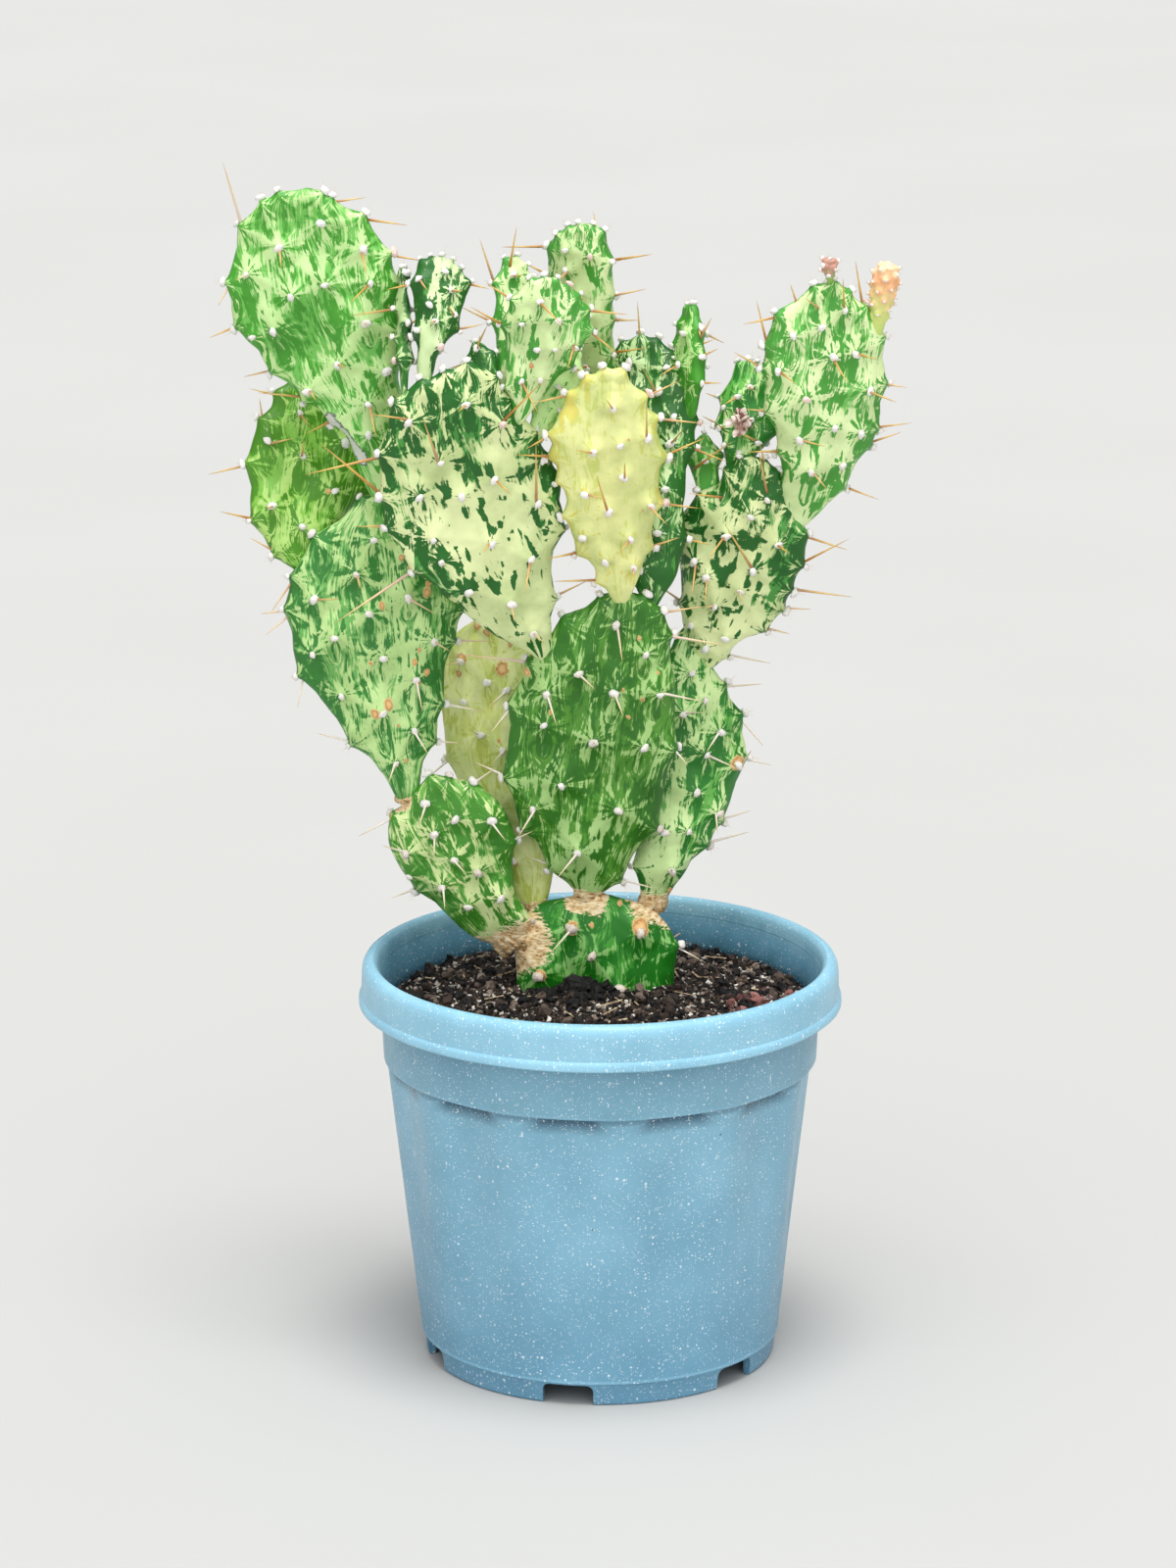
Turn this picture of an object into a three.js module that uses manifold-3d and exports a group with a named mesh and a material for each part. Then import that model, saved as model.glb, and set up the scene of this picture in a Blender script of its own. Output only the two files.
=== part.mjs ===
// Potted variegated prickly pear: flat jointed pads with raised areoles and needle spines,
// growing from potting soil in a fluted plastic nursery pot. Millimetres, +Z up, front towards -Y.
import * as THREE from 'three';
import { mergeVertices } from 'three/addons/utils/BufferGeometryUtils.js';
import Module from 'manifold-3d';

const wasm = await Module();
wasm.setup();

// Driving dimensions of the pot
const POT_HEIGHT = 145;
const RIM_RADIUS = 85.2;
const FOOT_RADIUS = 62.3;
const WALL = 1.7;
const FOOT_HEIGHT = 8;
const FLOOR_TOP = 10;
const POT_SEGMENTS = 48;
const FLUTES = 12;
const FLUTE_DEPTH = 2.4;
const FLUTE_PHASE = -9;
const FEET = 6;
const NOTCH_PHASE = -10.5;
const NOTCH_WIDTH = 18;
const DRAIN_RING_RADIUS = 38;
const DRAIN_RADIUS = 5.5;

// Driving dimensions of the soil
const SOIL_EDGE = 127.5;
const SOIL_MOUND = 4;
const SOIL_ROUGHNESS = 1.3;
const SOIL_GAP = 0.4;

// Driving dimensions shared by the pads
const JOINT_SINK = 3;
const JOINT_GAP = 0.35;
const ROW_SPACING = 8.5;
const AREOLE_LIFT = 2;
const AREOLE_REACH = 9;
const AREOLE_SNAP = 5.3;
const SCALLOP = 1.7;
const SPINE_RADIUS = 0.5;
const SPINE_SINK = 1.6;
const SPINE_CLEARANCE = 1.4;
const SPINE_STEPS = 10;
const SPINE_TRIES = 6;
const SPINE_LENGTH = [10, 18];
const SMALL_PAD = 45;
const SMALL_PAD_SPINE_LENGTH = [7, 10];

const MATERIALS = {
  potPlastic: new THREE.MeshStandardMaterial({ color: 0x6fa6bf, roughness: 0.42, metalness: 0 }),
  soil: new THREE.MeshStandardMaterial({ color: 0x2b2623, roughness: 0.95, metalness: 0 }),
  greenSkin: new THREE.MeshStandardMaterial({ color: 0x5f9e4c, roughness: 0.45, metalness: 0 }),
  creamSkin: new THREE.MeshStandardMaterial({ color: 0xb9cf8f, roughness: 0.45, metalness: 0 }),
  yellowSkin: new THREE.MeshStandardMaterial({ color: 0xe3dd7c, roughness: 0.45, metalness: 0 }),
  budSkin: new THREE.MeshStandardMaterial({ color: 0xe5b27d, roughness: 0.7, metalness: 0 }),
  driedFlower: new THREE.MeshStandardMaterial({ color: 0xa98272, roughness: 0.9, metalness: 0 }),
};

// Each pad runs from the joint it grows from to its crown (tip). The joint is a place on the pad
// below (on), as distances along it, across it and out of its front. turn is the pad's twist about
// its own line in degrees: above 0 the right-hand margin comes forward. left and right are its
// half-widths, seen from the front, at seven places that crowd towards both ends, so that the
// ends are round. areoles are [along, across] on both faces, and edge areoles are distances
// along the left and right margins. spines are [along, across, and the needle's own x, y, z].
const PADS = {
  pad_base: {
    on: null, skin: 'greenSkin', joint: [-2, 9, 106], tip: [-2, 8, 165], turn: 0, thick: 18,
    left: [14, 22, 27, 28, 28, 25, 18], right: [14, 22, 27, 29, 28, 24, 14],
    areoles: [[49, -8], [47, 16], [32, -19], [27, 9], [39, -1]],
    edge: { left: [42], right: [40] },
    spines: [[32, -19, -7, -10, -15], [27, 9, -3, -12, -8]],
  },
  pad_left_low: {
    on: 'pad_base', skin: 'greenSkin', joint: [42, -27.5, 1], tip: [-59, 0, 209], turn: 8, thick: 14,
    left: [4, 13, 18, 22, 25, 22, 8], right: [4, 7, 8, 14, 18, 15, 5],
    areoles: [[63, -4], [54, 3], [48, 14], [49, -18], [41, -4], [33, 2], [41, -21], [23, -7], [52, -6],
      [21, 4], [33, -12]],
    edge: { left: [33, 61], right: [6, 36, 61] },
    spines: [[49, -18, -9, -8, 5]],
  },
  pad_left_tall: {
    on: 'pad_left_low', skin: 'greenSkin', joint: [64.5, -11.5, 0], tip: [-74, 5, 310],
    turn: -10, thick: 13,
    left: [4, 10, 23, 35, 36, 28, 12], right: [4, 7, 13, 18, 24, 17, 5],
    areoles: [[84, -13], [62, -22], [74, 4], [54, -6], [58, 12], [42, -21], [45, 5], [34, -7], [16, -4],
      [95, -6], [76, -28], [57, -30], [88, 9], [70, -10], [27, 3]],
    edge: { left: [23, 49, 72, 83, 96], right: [21, 34, 56, 67, 88] },
    spines: [[83, -37, -8, -4, -11], [70, -36, -8, -4, -6], [48, -35, -2, -4, -10]],
  },
  pad_left_back: {
    on: 'pad_left_tall', skin: 'greenSkin', joint: [84, -28, -2], tip: [-98, 25, 345], turn: -18, thick: 11,
    left: [5, 13, 21, 23, 22, 16, 12], right: [4, 7, 8, 21, 25, 23, 17],
    areoles: [[39, -7], [28, 5], [21, -16], [15, -6], [54, -8], [45, 8], [43, -18], [59, 4], [41, 18]],
    edge: { left: [6, 17, 36, 51, 61], right: [19, 32, 55] },
    spines: [[51, -21, -1, -2, 9]],
  },
  pad_left_top: {
    on: 'pad_left_tall', skin: 'greenSkin', joint: [103, 1, 0], tip: [-101, -6, 418], turn: 5, thick: 12,
    left: [4, 7, 9, 25, 34, 29, 19], right: [4, 7, 11, 18, 22, 19, 6],
    areoles: [[102, -12], [107, 4], [95, 15], [86, 0], [70, 10], [74, -21], [58, -3], [52, 12], [42, 4],
      [31, 1], [95, -25], [85, -12], [51, -15], [73, -29], [83, 15]],
    edge: { left: [37, 47, 59, 77, 92, 110], right: [39, 63, 79, 90, 104, 112] },
    spines: [[110, -26, -6, -4, 23], [110, -26, -6, -8, 11], [92, -32, -4, -4, -7]],
  },
  pad_pale_back: {
    on: 'pad_base', skin: 'creamSkin', joint: [52, -21, -4.5], tip: [-38, 30, 261], turn: 14, thick: 11,
    left: [4, 10, 17, 22, 24, 21, 13], right: [4, 9, 12, 13, 15, 13, 7],
    areoles: [[65, -9], [83, -4], [58, -1], [77, -13], [79, 3], [38, -7], [44, 3], [19, -3], [91, -12],
      [29, 4]],
    edge: { left: [57, 81, 98], right: [63, 93] },
    spines: [[57, -24, -8, -4, -6]],
  },
  pad_middle: {
    on: 'pad_base', skin: 'greenSkin', joint: [58, -3, 0], tip: [9, -10, 278], turn: 0, thick: 15,
    left: [4, 16, 30, 35, 32, 24, 10], right: [5, 13, 21, 23, 22, 17, 11],
    areoles: [[107, -2], [83, 0], [67, -22], [46, -14], [35, -22], [39, 7], [21, -5], [84, 15], [64, -5],
      [64, 12], [88, -13], [98, 9], [79, -23]],
    edge: { left: [11, 25, 43, 70, 87, 104], right: [9, 31, 61, 103, 111] },
    spines: [[103, 14, 20, -10, -1], [84, 17, 14, -12, 0], [83, 0, 3, -14, -5], [83, 0, 6, -10, -24],
      [67, -22, -10, -12, -11], [87, -28, -26, -8, 5], [86, -28, -24, -10, -1], [61, 23, 5, -8, -4],
      [70, -34, -8, -6, -9], [118, 7, 4, -6, 6]],
  },
  pad_middle_upper: {
    on: 'pad_middle', skin: 'creamSkin', joint: [91.5, -27, 2], tip: [-45, -27, 361], turn: -8, thick: 13,
    left: [4, 16, 28, 38, 38, 33, 24], right: [5, 7, 12, 20, 17, 11, 6],
    areoles: [[98, -4], [88, 6], [97, -24], [81, -18], [70, -1], [55, -26], [48, -8], [57, 11], [38, 4],
      [33, -19], [24, -6], [71, 15], [71, -27], [67, -13], [11, -1], [46, -25]],
    edge: { left: [43, 61, 72, 87, 103], right: [19, 43, 61, 69, 79, 93, 102] },
    spines: [[72, -38, -21, -12, 21], [72, -38, -29, -8, 5], [71, -39, -23, -14, -2],
      [86, -36, -26, -6, -5], [43, -34, -28, -10, -17], [81, -18, -5, -12, 18], [55, -26, 10, -14, 13],
      [98, -24, -13, -10, 4], [110, -18, -20, -6, 16], [89, 7, 13, -14, 16], [89, 7, 18, -16, -4],
      [58, 11, 0, -12, 23]],
  },
  pad_right_low: {
    on: 'pad_base', skin: 'greenSkin', joint: [53, 20, -3.5], tip: [31, 16, 259], turn: -12, thick: 13,
    left: [4, 6, 8, 10, 10, 9, 5], right: [4, 9, 18, 25, 23, 12, 5],
    areoles: [[55, 22], [78, 7], [73, 0], [45, 9], [16, 4], [87, 1], [59, 10], [30, -1], [38, 17], [31, 7],
      [67, 14]],
    edge: { left: [15, 47, 79], right: [25, 34, 57, 72, 82] },
    spines: [[72, 21, 9, -4, -10], [82, 13, 14, -4, 2], [82, 13, 6, -8, 8], [55, 22, 3, -12, 9]],
  },
  pad_right_middle: {
    on: 'pad_right_low', skin: 'creamSkin', joint: [89.5, 7, 0], tip: [52, -1, 324], turn: 10, thick: 13,
    left: [4, 9, 12, 18, 18, 9, 5], right: [4, 8, 19, 23, 24, 17, 9],
    areoles: [[54, -2], [44, 10], [41, -10], [63, 5], [27, 0], [16, 6], [35, 7], [17, -6], [55, 16],
      [70, 9], [37, -5], [10, 0]],
    edge: { left: [21, 50, 62, 74], right: [6, 20, 29, 37, 47, 58, 68, 74] },
    spines: [[50, -21, 9, -10, 12], [66, -8, -10, -8, 3], [66, -8, 10, -12, -4], [68, 15, 11, -8, 7],
      [80, 6, -2, -2, 9], [73, 8, -3, -10, 16], [44, 10, -10, -14, 19], [62, 24, 22, -6, -4],
      [47, 24, 17, -4, 10], [37, 23, 22, -4, -2], [29, 18, 11, -6, -8]],
  },
  pad_right_top: {
    on: 'pad_right_middle', skin: 'greenSkin', joint: [62.5, 19.5, 0], tip: [79, -10, 386],
    turn: -12, thick: 12,
    left: [4, 7, 8, 16, 19, 17, 8], right: [6, 12, 19, 23, 22, 17, 6],
    areoles: [[78, 4], [68, -12], [62, 2], [47, -5], [51, 16], [37, 6], [32, -5], [24, 11], [21, 1],
      [72, -3], [64, 10], [36, 16], [55, -15]],
    edge: { left: [25, 39, 54, 62, 73], right: [14, 30, 36, 52, 68, 78] },
    spines: [[62, -21, -4, 0, 16], [54, -17, -11, -6, 7], [78, 4, -1, -8, 13], [78, 10, -3, -2, 17],
      [52, 24, 8, -2, -1], [36, 24, 13, -2, 2], [79, -11, -2, -2, 6], [79, -6, -4, -6, 4]],
  },
  pad_yellow: {
    on: 'pad_middle', skin: 'yellowSkin', joint: [116, -2, 2], tip: [4, -27, 360], turn: -6, thick: 12,
    left: [4, 8, 16, 18, 22, 18, 10], right: [4, 8, 12, 15, 16, 11, 5],
    areoles: [[72, -1], [60, 10], [57, -8], [47, 2], [42, -11], [35, -4], [36, 10], [26, -12], [24, 3],
      [17, -5], [13, 4], [59, 1]],
    edge: { left: [7, 18, 32, 45, 54, 62, 76], right: [18, 34, 51, 65, 73] },
    spines: [[60, 10, 0, -10, 15], [57, -8, -6, -10, 3], [47, 2, 0, -12, 8], [35, -4, -4, -10, 15],
      [72, -1, -2, -10, 5]],
  },
  pad_dark_back: {
    on: 'pad_middle', skin: 'greenSkin', joint: [114.5, 9, -2], tip: [14, 16, 362], turn: 12, thick: 11,
    left: [4, 7, 8, 10, 12, 12, 9], right: [4, 10, 12, 14, 17, 14, 8],
    areoles: [[71, 6], [62, 11], [53, 10], [82, -3], [11, -2], [72, -2], [62, 4], [38, 1], [52, -3],
      [38, 7], [23, 4], [79, 9]],
    edge: { left: [39, 73, 84], right: [21, 52, 61, 71, 84] },
    spines: [[90, -4, -1, -2, 14], [90, 0, 6, 0, 9], [89, -8, -11, -6, 22], [71, 6, -5, -12, 11],
      [79, -6, -9, -8, 16]],
  },
  pad_dark_finger: {
    on: 'pad_dark_back', skin: 'greenSkin', joint: [63.3, 15.5, 0], tip: [31, 14, 374], turn: 65, thick: 7,
    left: [3, 6, 8, 8, 8, 7, 4], right: [3, 6, 8, 9, 8, 6, 4],
    areoles: [[17, 2], [24, -4], [11, -2], [28, 3]],
    edge: { left: [12, 22, 31], right: [11, 20, 29] },
    spines: [[26, 8, 4, -2, 8]],
  },
  pad_top_twin: {
    on: 'pad_middle_upper', skin: 'creamSkin', joint: [107.5, -15.5, -2], tip: [-54, -15, 395],
    turn: 0, thick: 11,
    left: [2, 3, 4, 6, 8, 8, 6], right: [2, 3, 4, 8, 10, 10, 5],
    areoles: [[33, -6], [37, 2], [31, 5], [25, -2], [20, 1], [16, -4], [23, 7], [12, 3]],
    edge: { left: [15, 32], right: [19, 35] },
    spines: [],
  },
  pad_top_slim: {
    on: 'pad_middle_upper', skin: 'greenSkin', joint: [104.5, -23, -2], tip: [-67, -9, 390],
    turn: 75, thick: 4,
    left: [2, 3, 4, 5, 5, 4, 3], right: [2, 3, 4, 4, 4, 3, 2],
    areoles: [[30, -1], [20, -1]],
    edge: { left: [18, 34], right: [24] },
    spines: [],
  },
  pad_top_right: {
    on: 'pad_middle_upper', skin: 'creamSkin', joint: [87, 12.5, 2], tip: [-17, -27, 391],
    turn: -12, thick: 9,
    left: [2, 4, 7, 10, 12, 10, 6], right: [2, 5, 9, 14, 17, 14, 6],
    areoles: [[42, -3], [34, -7], [37, 5], [26, -1], [29, 12], [16, 3], [14, -3], [27, 5]],
    edge: { left: [10, 31, 40], right: [21, 34, 41] },
    spines: [],
  },
  pad_top_right_back: {
    on: 'pad_middle_upper', skin: 'greenSkin', joint: [93, 8.5, -3], tip: [-30, -6, 394],
    turn: -10, thick: 7,
    left: [2, 3, 3, 4, 5, 5, 3], right: [2, 6, 8, 9, 9, 7, 4],
    areoles: [[42, 0], [34, 3], [20, 1]],
    edge: { left: [26, 39], right: [31, 42] },
    spines: [[39, -6, -5, -2, 16], [47, -1, 2, 0, 12]],
  },
  pad_nub: {
    on: 'pad_middle_upper', skin: 'greenSkin', joint: [101.5, 6.5, 0], tip: [-42, -17, 366],
    turn: 0, thick: 5,
    left: [2, 3, 4, 5, 5, 4, 2], right: [2, 3, 4, 5, 4, 3, 2],
    areoles: [[11, 0]],
    edge: { left: [10], right: [9] },
    spines: [[14, -2, 4, 0, 9]],
  },
  pad_between: {
    on: 'pad_middle_upper', skin: 'creamSkin', joint: [76, 15.5, 0], tip: [-8, -9, 362], turn: 0, thick: 6,
    left: [3, 4, 5, 6, 6, 4, 2], right: [2, 3, 4, 5, 5, 4, 2],
    areoles: [[20, -1]],
    edge: { left: [12], right: [19] },
    spines: [],
  },
  pad_top_centre: {
    on: 'pad_dark_back', skin: 'greenSkin', joint: [72.6, -11.5, 0], tip: [-6, 2, 404], turn: 18, thick: 13,
    left: [4, 8, 10, 13, 14, 14, 9], right: [3, 3, 3, 5, 7, 8, 6],
    areoles: [[48, -6], [53, 3], [40, -3], [32, 0], [22, -4], [55, -6], [13, -4]],
    edge: { left: [25, 44, 55], right: [15, 27, 36, 49] },
    spines: [],
  },
  pad_right_young: {
    on: 'pad_right_middle', skin: 'greenSkin', joint: [72.5, -4, -1], tip: [51, 10, 355],
    turn: 20, thick: 9,
    left: [2, 4, 5, 8, 8, 6, 4], right: [2, 4, 8, 12, 9, 7, 5],
    areoles: [[27, -1], [23, -5], [16, -5], [10, -3], [13, 7], [7, 2], [31, 3], [20, 5]],
    edge: { left: [17, 26], right: [17, 23, 32] },
    spines: [],
  },
  pad_right_nub: {
    on: 'pad_right_middle', skin: 'creamSkin', joint: [61, -12, -1], tip: [36, 14, 328], turn: 0, thick: 5,
    left: [2, 3, 4, 5, 6, 5, 3], right: [2, 4, 5, 5, 5, 4, 2],
    areoles: [[13, 0]],
    edge: { left: [16], right: [15] },
    spines: [[10, -5, 14, -8, 14]],
  },
};

// Buds run from a foot on their pad to a top; the dried flower is a ball on its pad's front
const BUD_SMALL = { on: 'pad_right_top', foot: [78, -10.5, 384], top: [77.5, -12, 396.5], radius: 3.4 };
const BUD_ORANGE = { on: 'pad_right_top', foot: [93.5, -5, 367], top: [98, -7.5, 394], radius: 5.6 };
const DRIED_FLOWER = { on: 'pad_right_young', centre: [48.3, -1.5, 337], radius: 4 };

// Solids: a closed triangle list becomes a manifold, and a manifold becomes a geometry
function solidOf(positions, triangles) {
  const merged = new THREE.BufferGeometry();
  merged.setAttribute('position', new THREE.Float32BufferAttribute(positions, 3));
  merged.setIndex(triangles);
  return solidOfGeometry(merged);
}

function solidOfGeometry(geometry) {
  const bare = geometry.clone();
  bare.deleteAttribute('normal');
  bare.deleteAttribute('uv');
  const merged = mergeVertices(bare, 1e-4);
  const mesh = new wasm.Mesh({
    numProp: 3,
    vertProperties: new Float32Array(merged.attributes.position.array),
    triVerts: new Uint32Array(merged.index.array),
  });
  return new wasm.Manifold(mesh);
}

function geometryOf(solid) {
  const pieces = solid.decompose();
  const largest = pieces.reduce((best, piece) => (piece.volume() > best.volume() ? piece : best));
  const mesh = largest.getMesh();
  const geometry = new THREE.BufferGeometry();
  geometry.setAttribute('position', new THREE.Float32BufferAttribute(mesh.vertProperties, 3));
  geometry.setIndex(Array.from(mesh.triVerts));
  geometry.computeVertexNormals();
  return geometry;
}

const object = new THREE.Group();

function addPiece(name, solid, material) {
  const mesh = new THREE.Mesh(geometryOf(solid), material);
  mesh.name = name;
  object.add(mesh);
}

// One seeded stream for every random draw
let seed = 20417;
function draw(low, high) {
  seed = (seed + 0x6d2b79f5) | 0;
  let t = Math.imul(seed ^ (seed >>> 15), 1 | seed);
  t = (t + Math.imul(t ^ (t >>> 7), 61 | t)) ^ t;
  return low + (high - low) * (((t ^ (t >>> 14)) >>> 0) / 4294967296);
}

// A body turned round the pot's axis. Its profile rows are [radius, height, flute depth], and
// lift(radius, height, turn) can raise a point.
function turned(rows, lift) {
  const points = rows.map(([radius, height]) => new THREE.Vector2(radius, height));
  const geometry = new THREE.LatheGeometry(points, POT_SEGMENTS);
  geometry.rotateX(Math.PI / 2);
  const position = geometry.attributes.position;
  for (let k = 0; k < position.count; k += 1) {
    const [radius, height, flute] = rows[k % rows.length];
    const turn = (Math.floor(k / rows.length) % POT_SEGMENTS) * ((2 * Math.PI) / POT_SEGMENTS);
    const wave = 0.5 + 0.5 * Math.cos(FLUTES * (turn - THREE.MathUtils.degToRad(FLUTE_PHASE)));
    const r = radius - (flute ?? 0) * wave;
    const z = lift ? height + lift(radius, height, turn) : height;
    position.setXYZ(k, r * Math.sin(turn), -r * Math.cos(turn), z);
  }
  const solid = solidOfGeometry(geometry);
  return solid.volume() > 0 ? solid : solidOfGeometry(flipped(geometry));
}

function flipped(geometry) {
  const index = Array.from(geometry.index.array);
  for (let k = 0; k < index.length; k += 3) {
    [index[k], index[k + 1]] = [index[k + 1], index[k]];
  }
  const turnedOver = geometry.clone();
  turnedOver.setIndex(index);
  return turnedOver;
}

// The pot: a thin fluted cup with a turned-down rim, a plain collar, and a notched foot ring
const BODY_TOP = 107;
const BODY_TOP_RADIUS = 75.2;
const COLLAR_FOOT = 109.5;
const COLLAR_FOOT_RADIUS = 76.6;
const COLLAR_TOP_RADIUS = 77.4;
const RIM_FOOT = 129;
const RIM_ROOF = 139.5;
const NOTCH_CORNER = 2.5;

function buildPot() {
  const profile = [
    [0, FOOT_HEIGHT - 0.5],
    [FOOT_RADIUS - 2.3, FOOT_HEIGHT - 0.5],
    [FOOT_RADIUS - 2.7, 0],
    [FOOT_RADIUS, 0],
    [FOOT_RADIUS + 0.9, FOOT_HEIGHT],
    [FOOT_RADIUS + 1.6, FOOT_HEIGHT + 0.8],
    [BODY_TOP_RADIUS, BODY_TOP, FLUTE_DEPTH],
    [COLLAR_FOOT_RADIUS, COLLAR_FOOT],
    [COLLAR_TOP_RADIUS, RIM_FOOT - 1],
    [COLLAR_TOP_RADIUS + 0.4, RIM_ROOF],
    [RIM_RADIUS - 2.6, RIM_ROOF],
    [RIM_RADIUS - 2, RIM_FOOT],
    [RIM_RADIUS, RIM_FOOT],
    [RIM_RADIUS - 0.2, RIM_FOOT + 2.6],
    [RIM_RADIUS - 0.8, RIM_FOOT + 3.4],
    [RIM_RADIUS - 1, POT_HEIGHT - 4.5],
    [RIM_RADIUS - 2, POT_HEIGHT - 1.2],
    [RIM_RADIUS - 4, POT_HEIGHT],
    [RIM_RADIUS - 6, POT_HEIGHT - 0.4],
    [RIM_RADIUS - 7, POT_HEIGHT - 2],
    [COLLAR_TOP_RADIUS - WALL, RIM_FOOT - 1],
    [COLLAR_FOOT_RADIUS - WALL, COLLAR_FOOT],
    [BODY_TOP_RADIUS - WALL, BODY_TOP, FLUTE_DEPTH],
    [FOOT_RADIUS + 0.1, FLOOR_TOP],
    [0, FLOOR_TOP],
  ];
  let pot = turned(profile);
  for (let k = 0; k < FEET; k += 1) {
    const turn = THREE.MathUtils.degToRad(NOTCH_PHASE + (k * 360) / FEET);
    pot = pot.subtract(footNotch(turn));
  }
  pot = pot.subtract(drain(0, 0));
  for (let k = 0; k < FEET; k += 1) {
    const turn = THREE.MathUtils.degToRad(NOTCH_PHASE + 30 + (k * 360) / FEET);
    pot = pot.subtract(drain(DRAIN_RING_RADIUS * Math.sin(turn), -DRAIN_RING_RADIUS * Math.cos(turn)));
  }
  return pot;
}

function footNotch(turn) {
  const half = NOTCH_WIDTH / 2;
  const top = FOOT_HEIGHT - 0.5;
  const shoulder = top - NOTCH_CORNER;
  const shape = new THREE.Shape();
  shape.moveTo(-half, -1);
  shape.lineTo(half, -1);
  shape.lineTo(half, shoulder);
  shape.absarc(half - NOTCH_CORNER, shoulder, NOTCH_CORNER, 0, Math.PI / 2, false);
  shape.absarc(-half + NOTCH_CORNER, shoulder, NOTCH_CORNER, Math.PI / 2, Math.PI, false);
  shape.closePath();
  const geometry = new THREE.ExtrudeGeometry(shape, { depth: 20, bevelEnabled: false, curveSegments: 2 });
  geometry.rotateX(Math.PI / 2);
  geometry.translate(0, -FOOT_RADIUS + 10, 0);
  geometry.rotateZ(turn);
  return solidOfGeometry(geometry);
}

function drain(x, y) {
  const geometry = new THREE.CylinderGeometry(DRAIN_RADIUS, DRAIN_RADIUS, 8, 12);
  geometry.rotateX(Math.PI / 2);
  geometry.translate(x, y, FLOOR_TOP);
  return solidOfGeometry(geometry);
}

// The soil fills the pot to just under the rim, mounded and crumbly on top
const SOIL_RADIUS = COLLAR_TOP_RADIUS - WALL - SOIL_GAP;

function soilHeight(radius) {
  return SOIL_EDGE + SOIL_MOUND * (1 - (radius / SOIL_RADIUS) ** 2);
}

function buildSoil(stem) {
  const topRadii = [12, 24, 36, 47, 58, 68];
  const profile = [
    [0, soilHeight(0)],
    ...topRadii.map((radius) => [radius, soilHeight(radius)]),
    [SOIL_RADIUS, SOIL_EDGE],
    [COLLAR_FOOT_RADIUS - WALL - SOIL_GAP, COLLAR_FOOT],
    [BODY_TOP_RADIUS - WALL - SOIL_GAP, BODY_TOP, FLUTE_DEPTH],
    [FOOT_RADIUS - 0.3, FLOOR_TOP + SOIL_GAP],
    [0, FLOOR_TOP + SOIL_GAP],
  ];
  const count = POT_SEGMENTS * topRadii.length;
  const crumbs = Array.from({ length: count }, () => draw(-SOIL_ROUGHNESS, SOIL_ROUGHNESS));
  const lift = (radius, height, turn) => {
    const ring = topRadii.indexOf(radius);
    const segment = Math.round((turn * POT_SEGMENTS) / (2 * Math.PI));
    return ring < 0 || height < SOIL_EDGE ? 0 : crumbs[ring * POT_SEGMENTS + segment];
  };
  return turned(profile, lift).subtract(stem);
}

// Pads. A pad's own frame has A along it, U across it to the right and N out of its front face.
const FORWARD = new THREE.Vector3(0, -1, 0);
const UP = new THREE.Vector3(0, 0, 1);

function placePad(spec, parent) {
  const tip = new THREE.Vector3(...spec.tip);
  const [v, u, n] = spec.joint;
  const joint = parent ? padPoint(parent, v + parent.sink, u, n) : new THREE.Vector3(v, u, n);
  const along = tip.clone().sub(joint).normalize();
  const across = along.clone().cross(FORWARD).normalize();
  across.applyAxisAngle(along, THREE.MathUtils.degToRad(-spec.turn));
  const out = across.clone().cross(along);
  const sink = spec.on ? JOINT_SINK : 0;
  const start = joint.clone().addScaledVector(along, -sink);
  return { ...spec, along, across, out, start, sink, length: tip.distanceTo(joint) + sink };
}

// Half-width at a distance along the pad, by a smooth curve through its seven measured values
function halfWidth(pad, v, side) {
  const widths = side < 0 ? pad.left : pad.right;
  const share = THREE.MathUtils.clamp(v / pad.length, 0, 1);
  const place = (Math.acos(1 - 2 * share) / Math.PI) * (widths.length + 1);
  const at = (k) => {
    const last = widths.length + 1;
    if (k < 0) return -widths[-k - 1];
    if (k > last) return -widths[2 * last - k - 1];
    return k === 0 || k === last ? 0 : widths[k - 1];
  };
  const k = Math.min(Math.floor(place), widths.length);
  const t = place - k;
  const [a, b, c, d] = [at(k - 1), at(k), at(k + 1), at(k + 2)];
  return b + 0.5 * t * (c - a + t * (2 * a - 5 * b + 4 * c - d + t * (3 * (b - c) + d - a)));
}

function halfThickness(pad, v, u) {
  const share = THREE.MathUtils.clamp(v / pad.length, 0, 1);
  const width = Math.max(halfWidth(pad, v, u), 0.1);
  const s = Math.min(Math.abs(u) / width, 1);
  return (pad.thick / 2) * Math.sin(Math.PI * share) ** 0.4 * Math.sqrt(1 - s ** 3);
}

function areoleLift(pad, v, u) {
  let lift = 0;
  for (const [av, au] of pad.areoles) {
    const distance = Math.hypot(v - av - pad.sink, u - au);
    lift = Math.max(lift, AREOLE_LIFT * (1 - distance / AREOLE_REACH));
  }
  return lift;
}

function padPoint(pad, v, u, n) {
  return pad.start.clone()
    .addScaledVector(pad.along, v)
    .addScaledVector(pad.across, u)
    .addScaledVector(pad.out, n);
}

function padColumns(pad) {
  const widest = Math.max(...pad.left) + Math.max(...pad.right);
  if (widest > 38) return [-1, -0.86, -0.46, 0, 0.46, 0.86, 1];
  return widest > 22 ? [-1, -0.8, 0, 0.8, 1] : [-1, -0.7, 0, 0.7, 1];
}

function padRows(pad) {
  const count = Math.max(4, Math.round(pad.length / ROW_SPACING));
  const step = pad.length / count;
  const rows = [0.3 * step];
  for (let k = 1; k < count; k += 1) rows.push(k * step);
  rows.push(pad.length - 0.3 * step);
  return rows;
}

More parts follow.
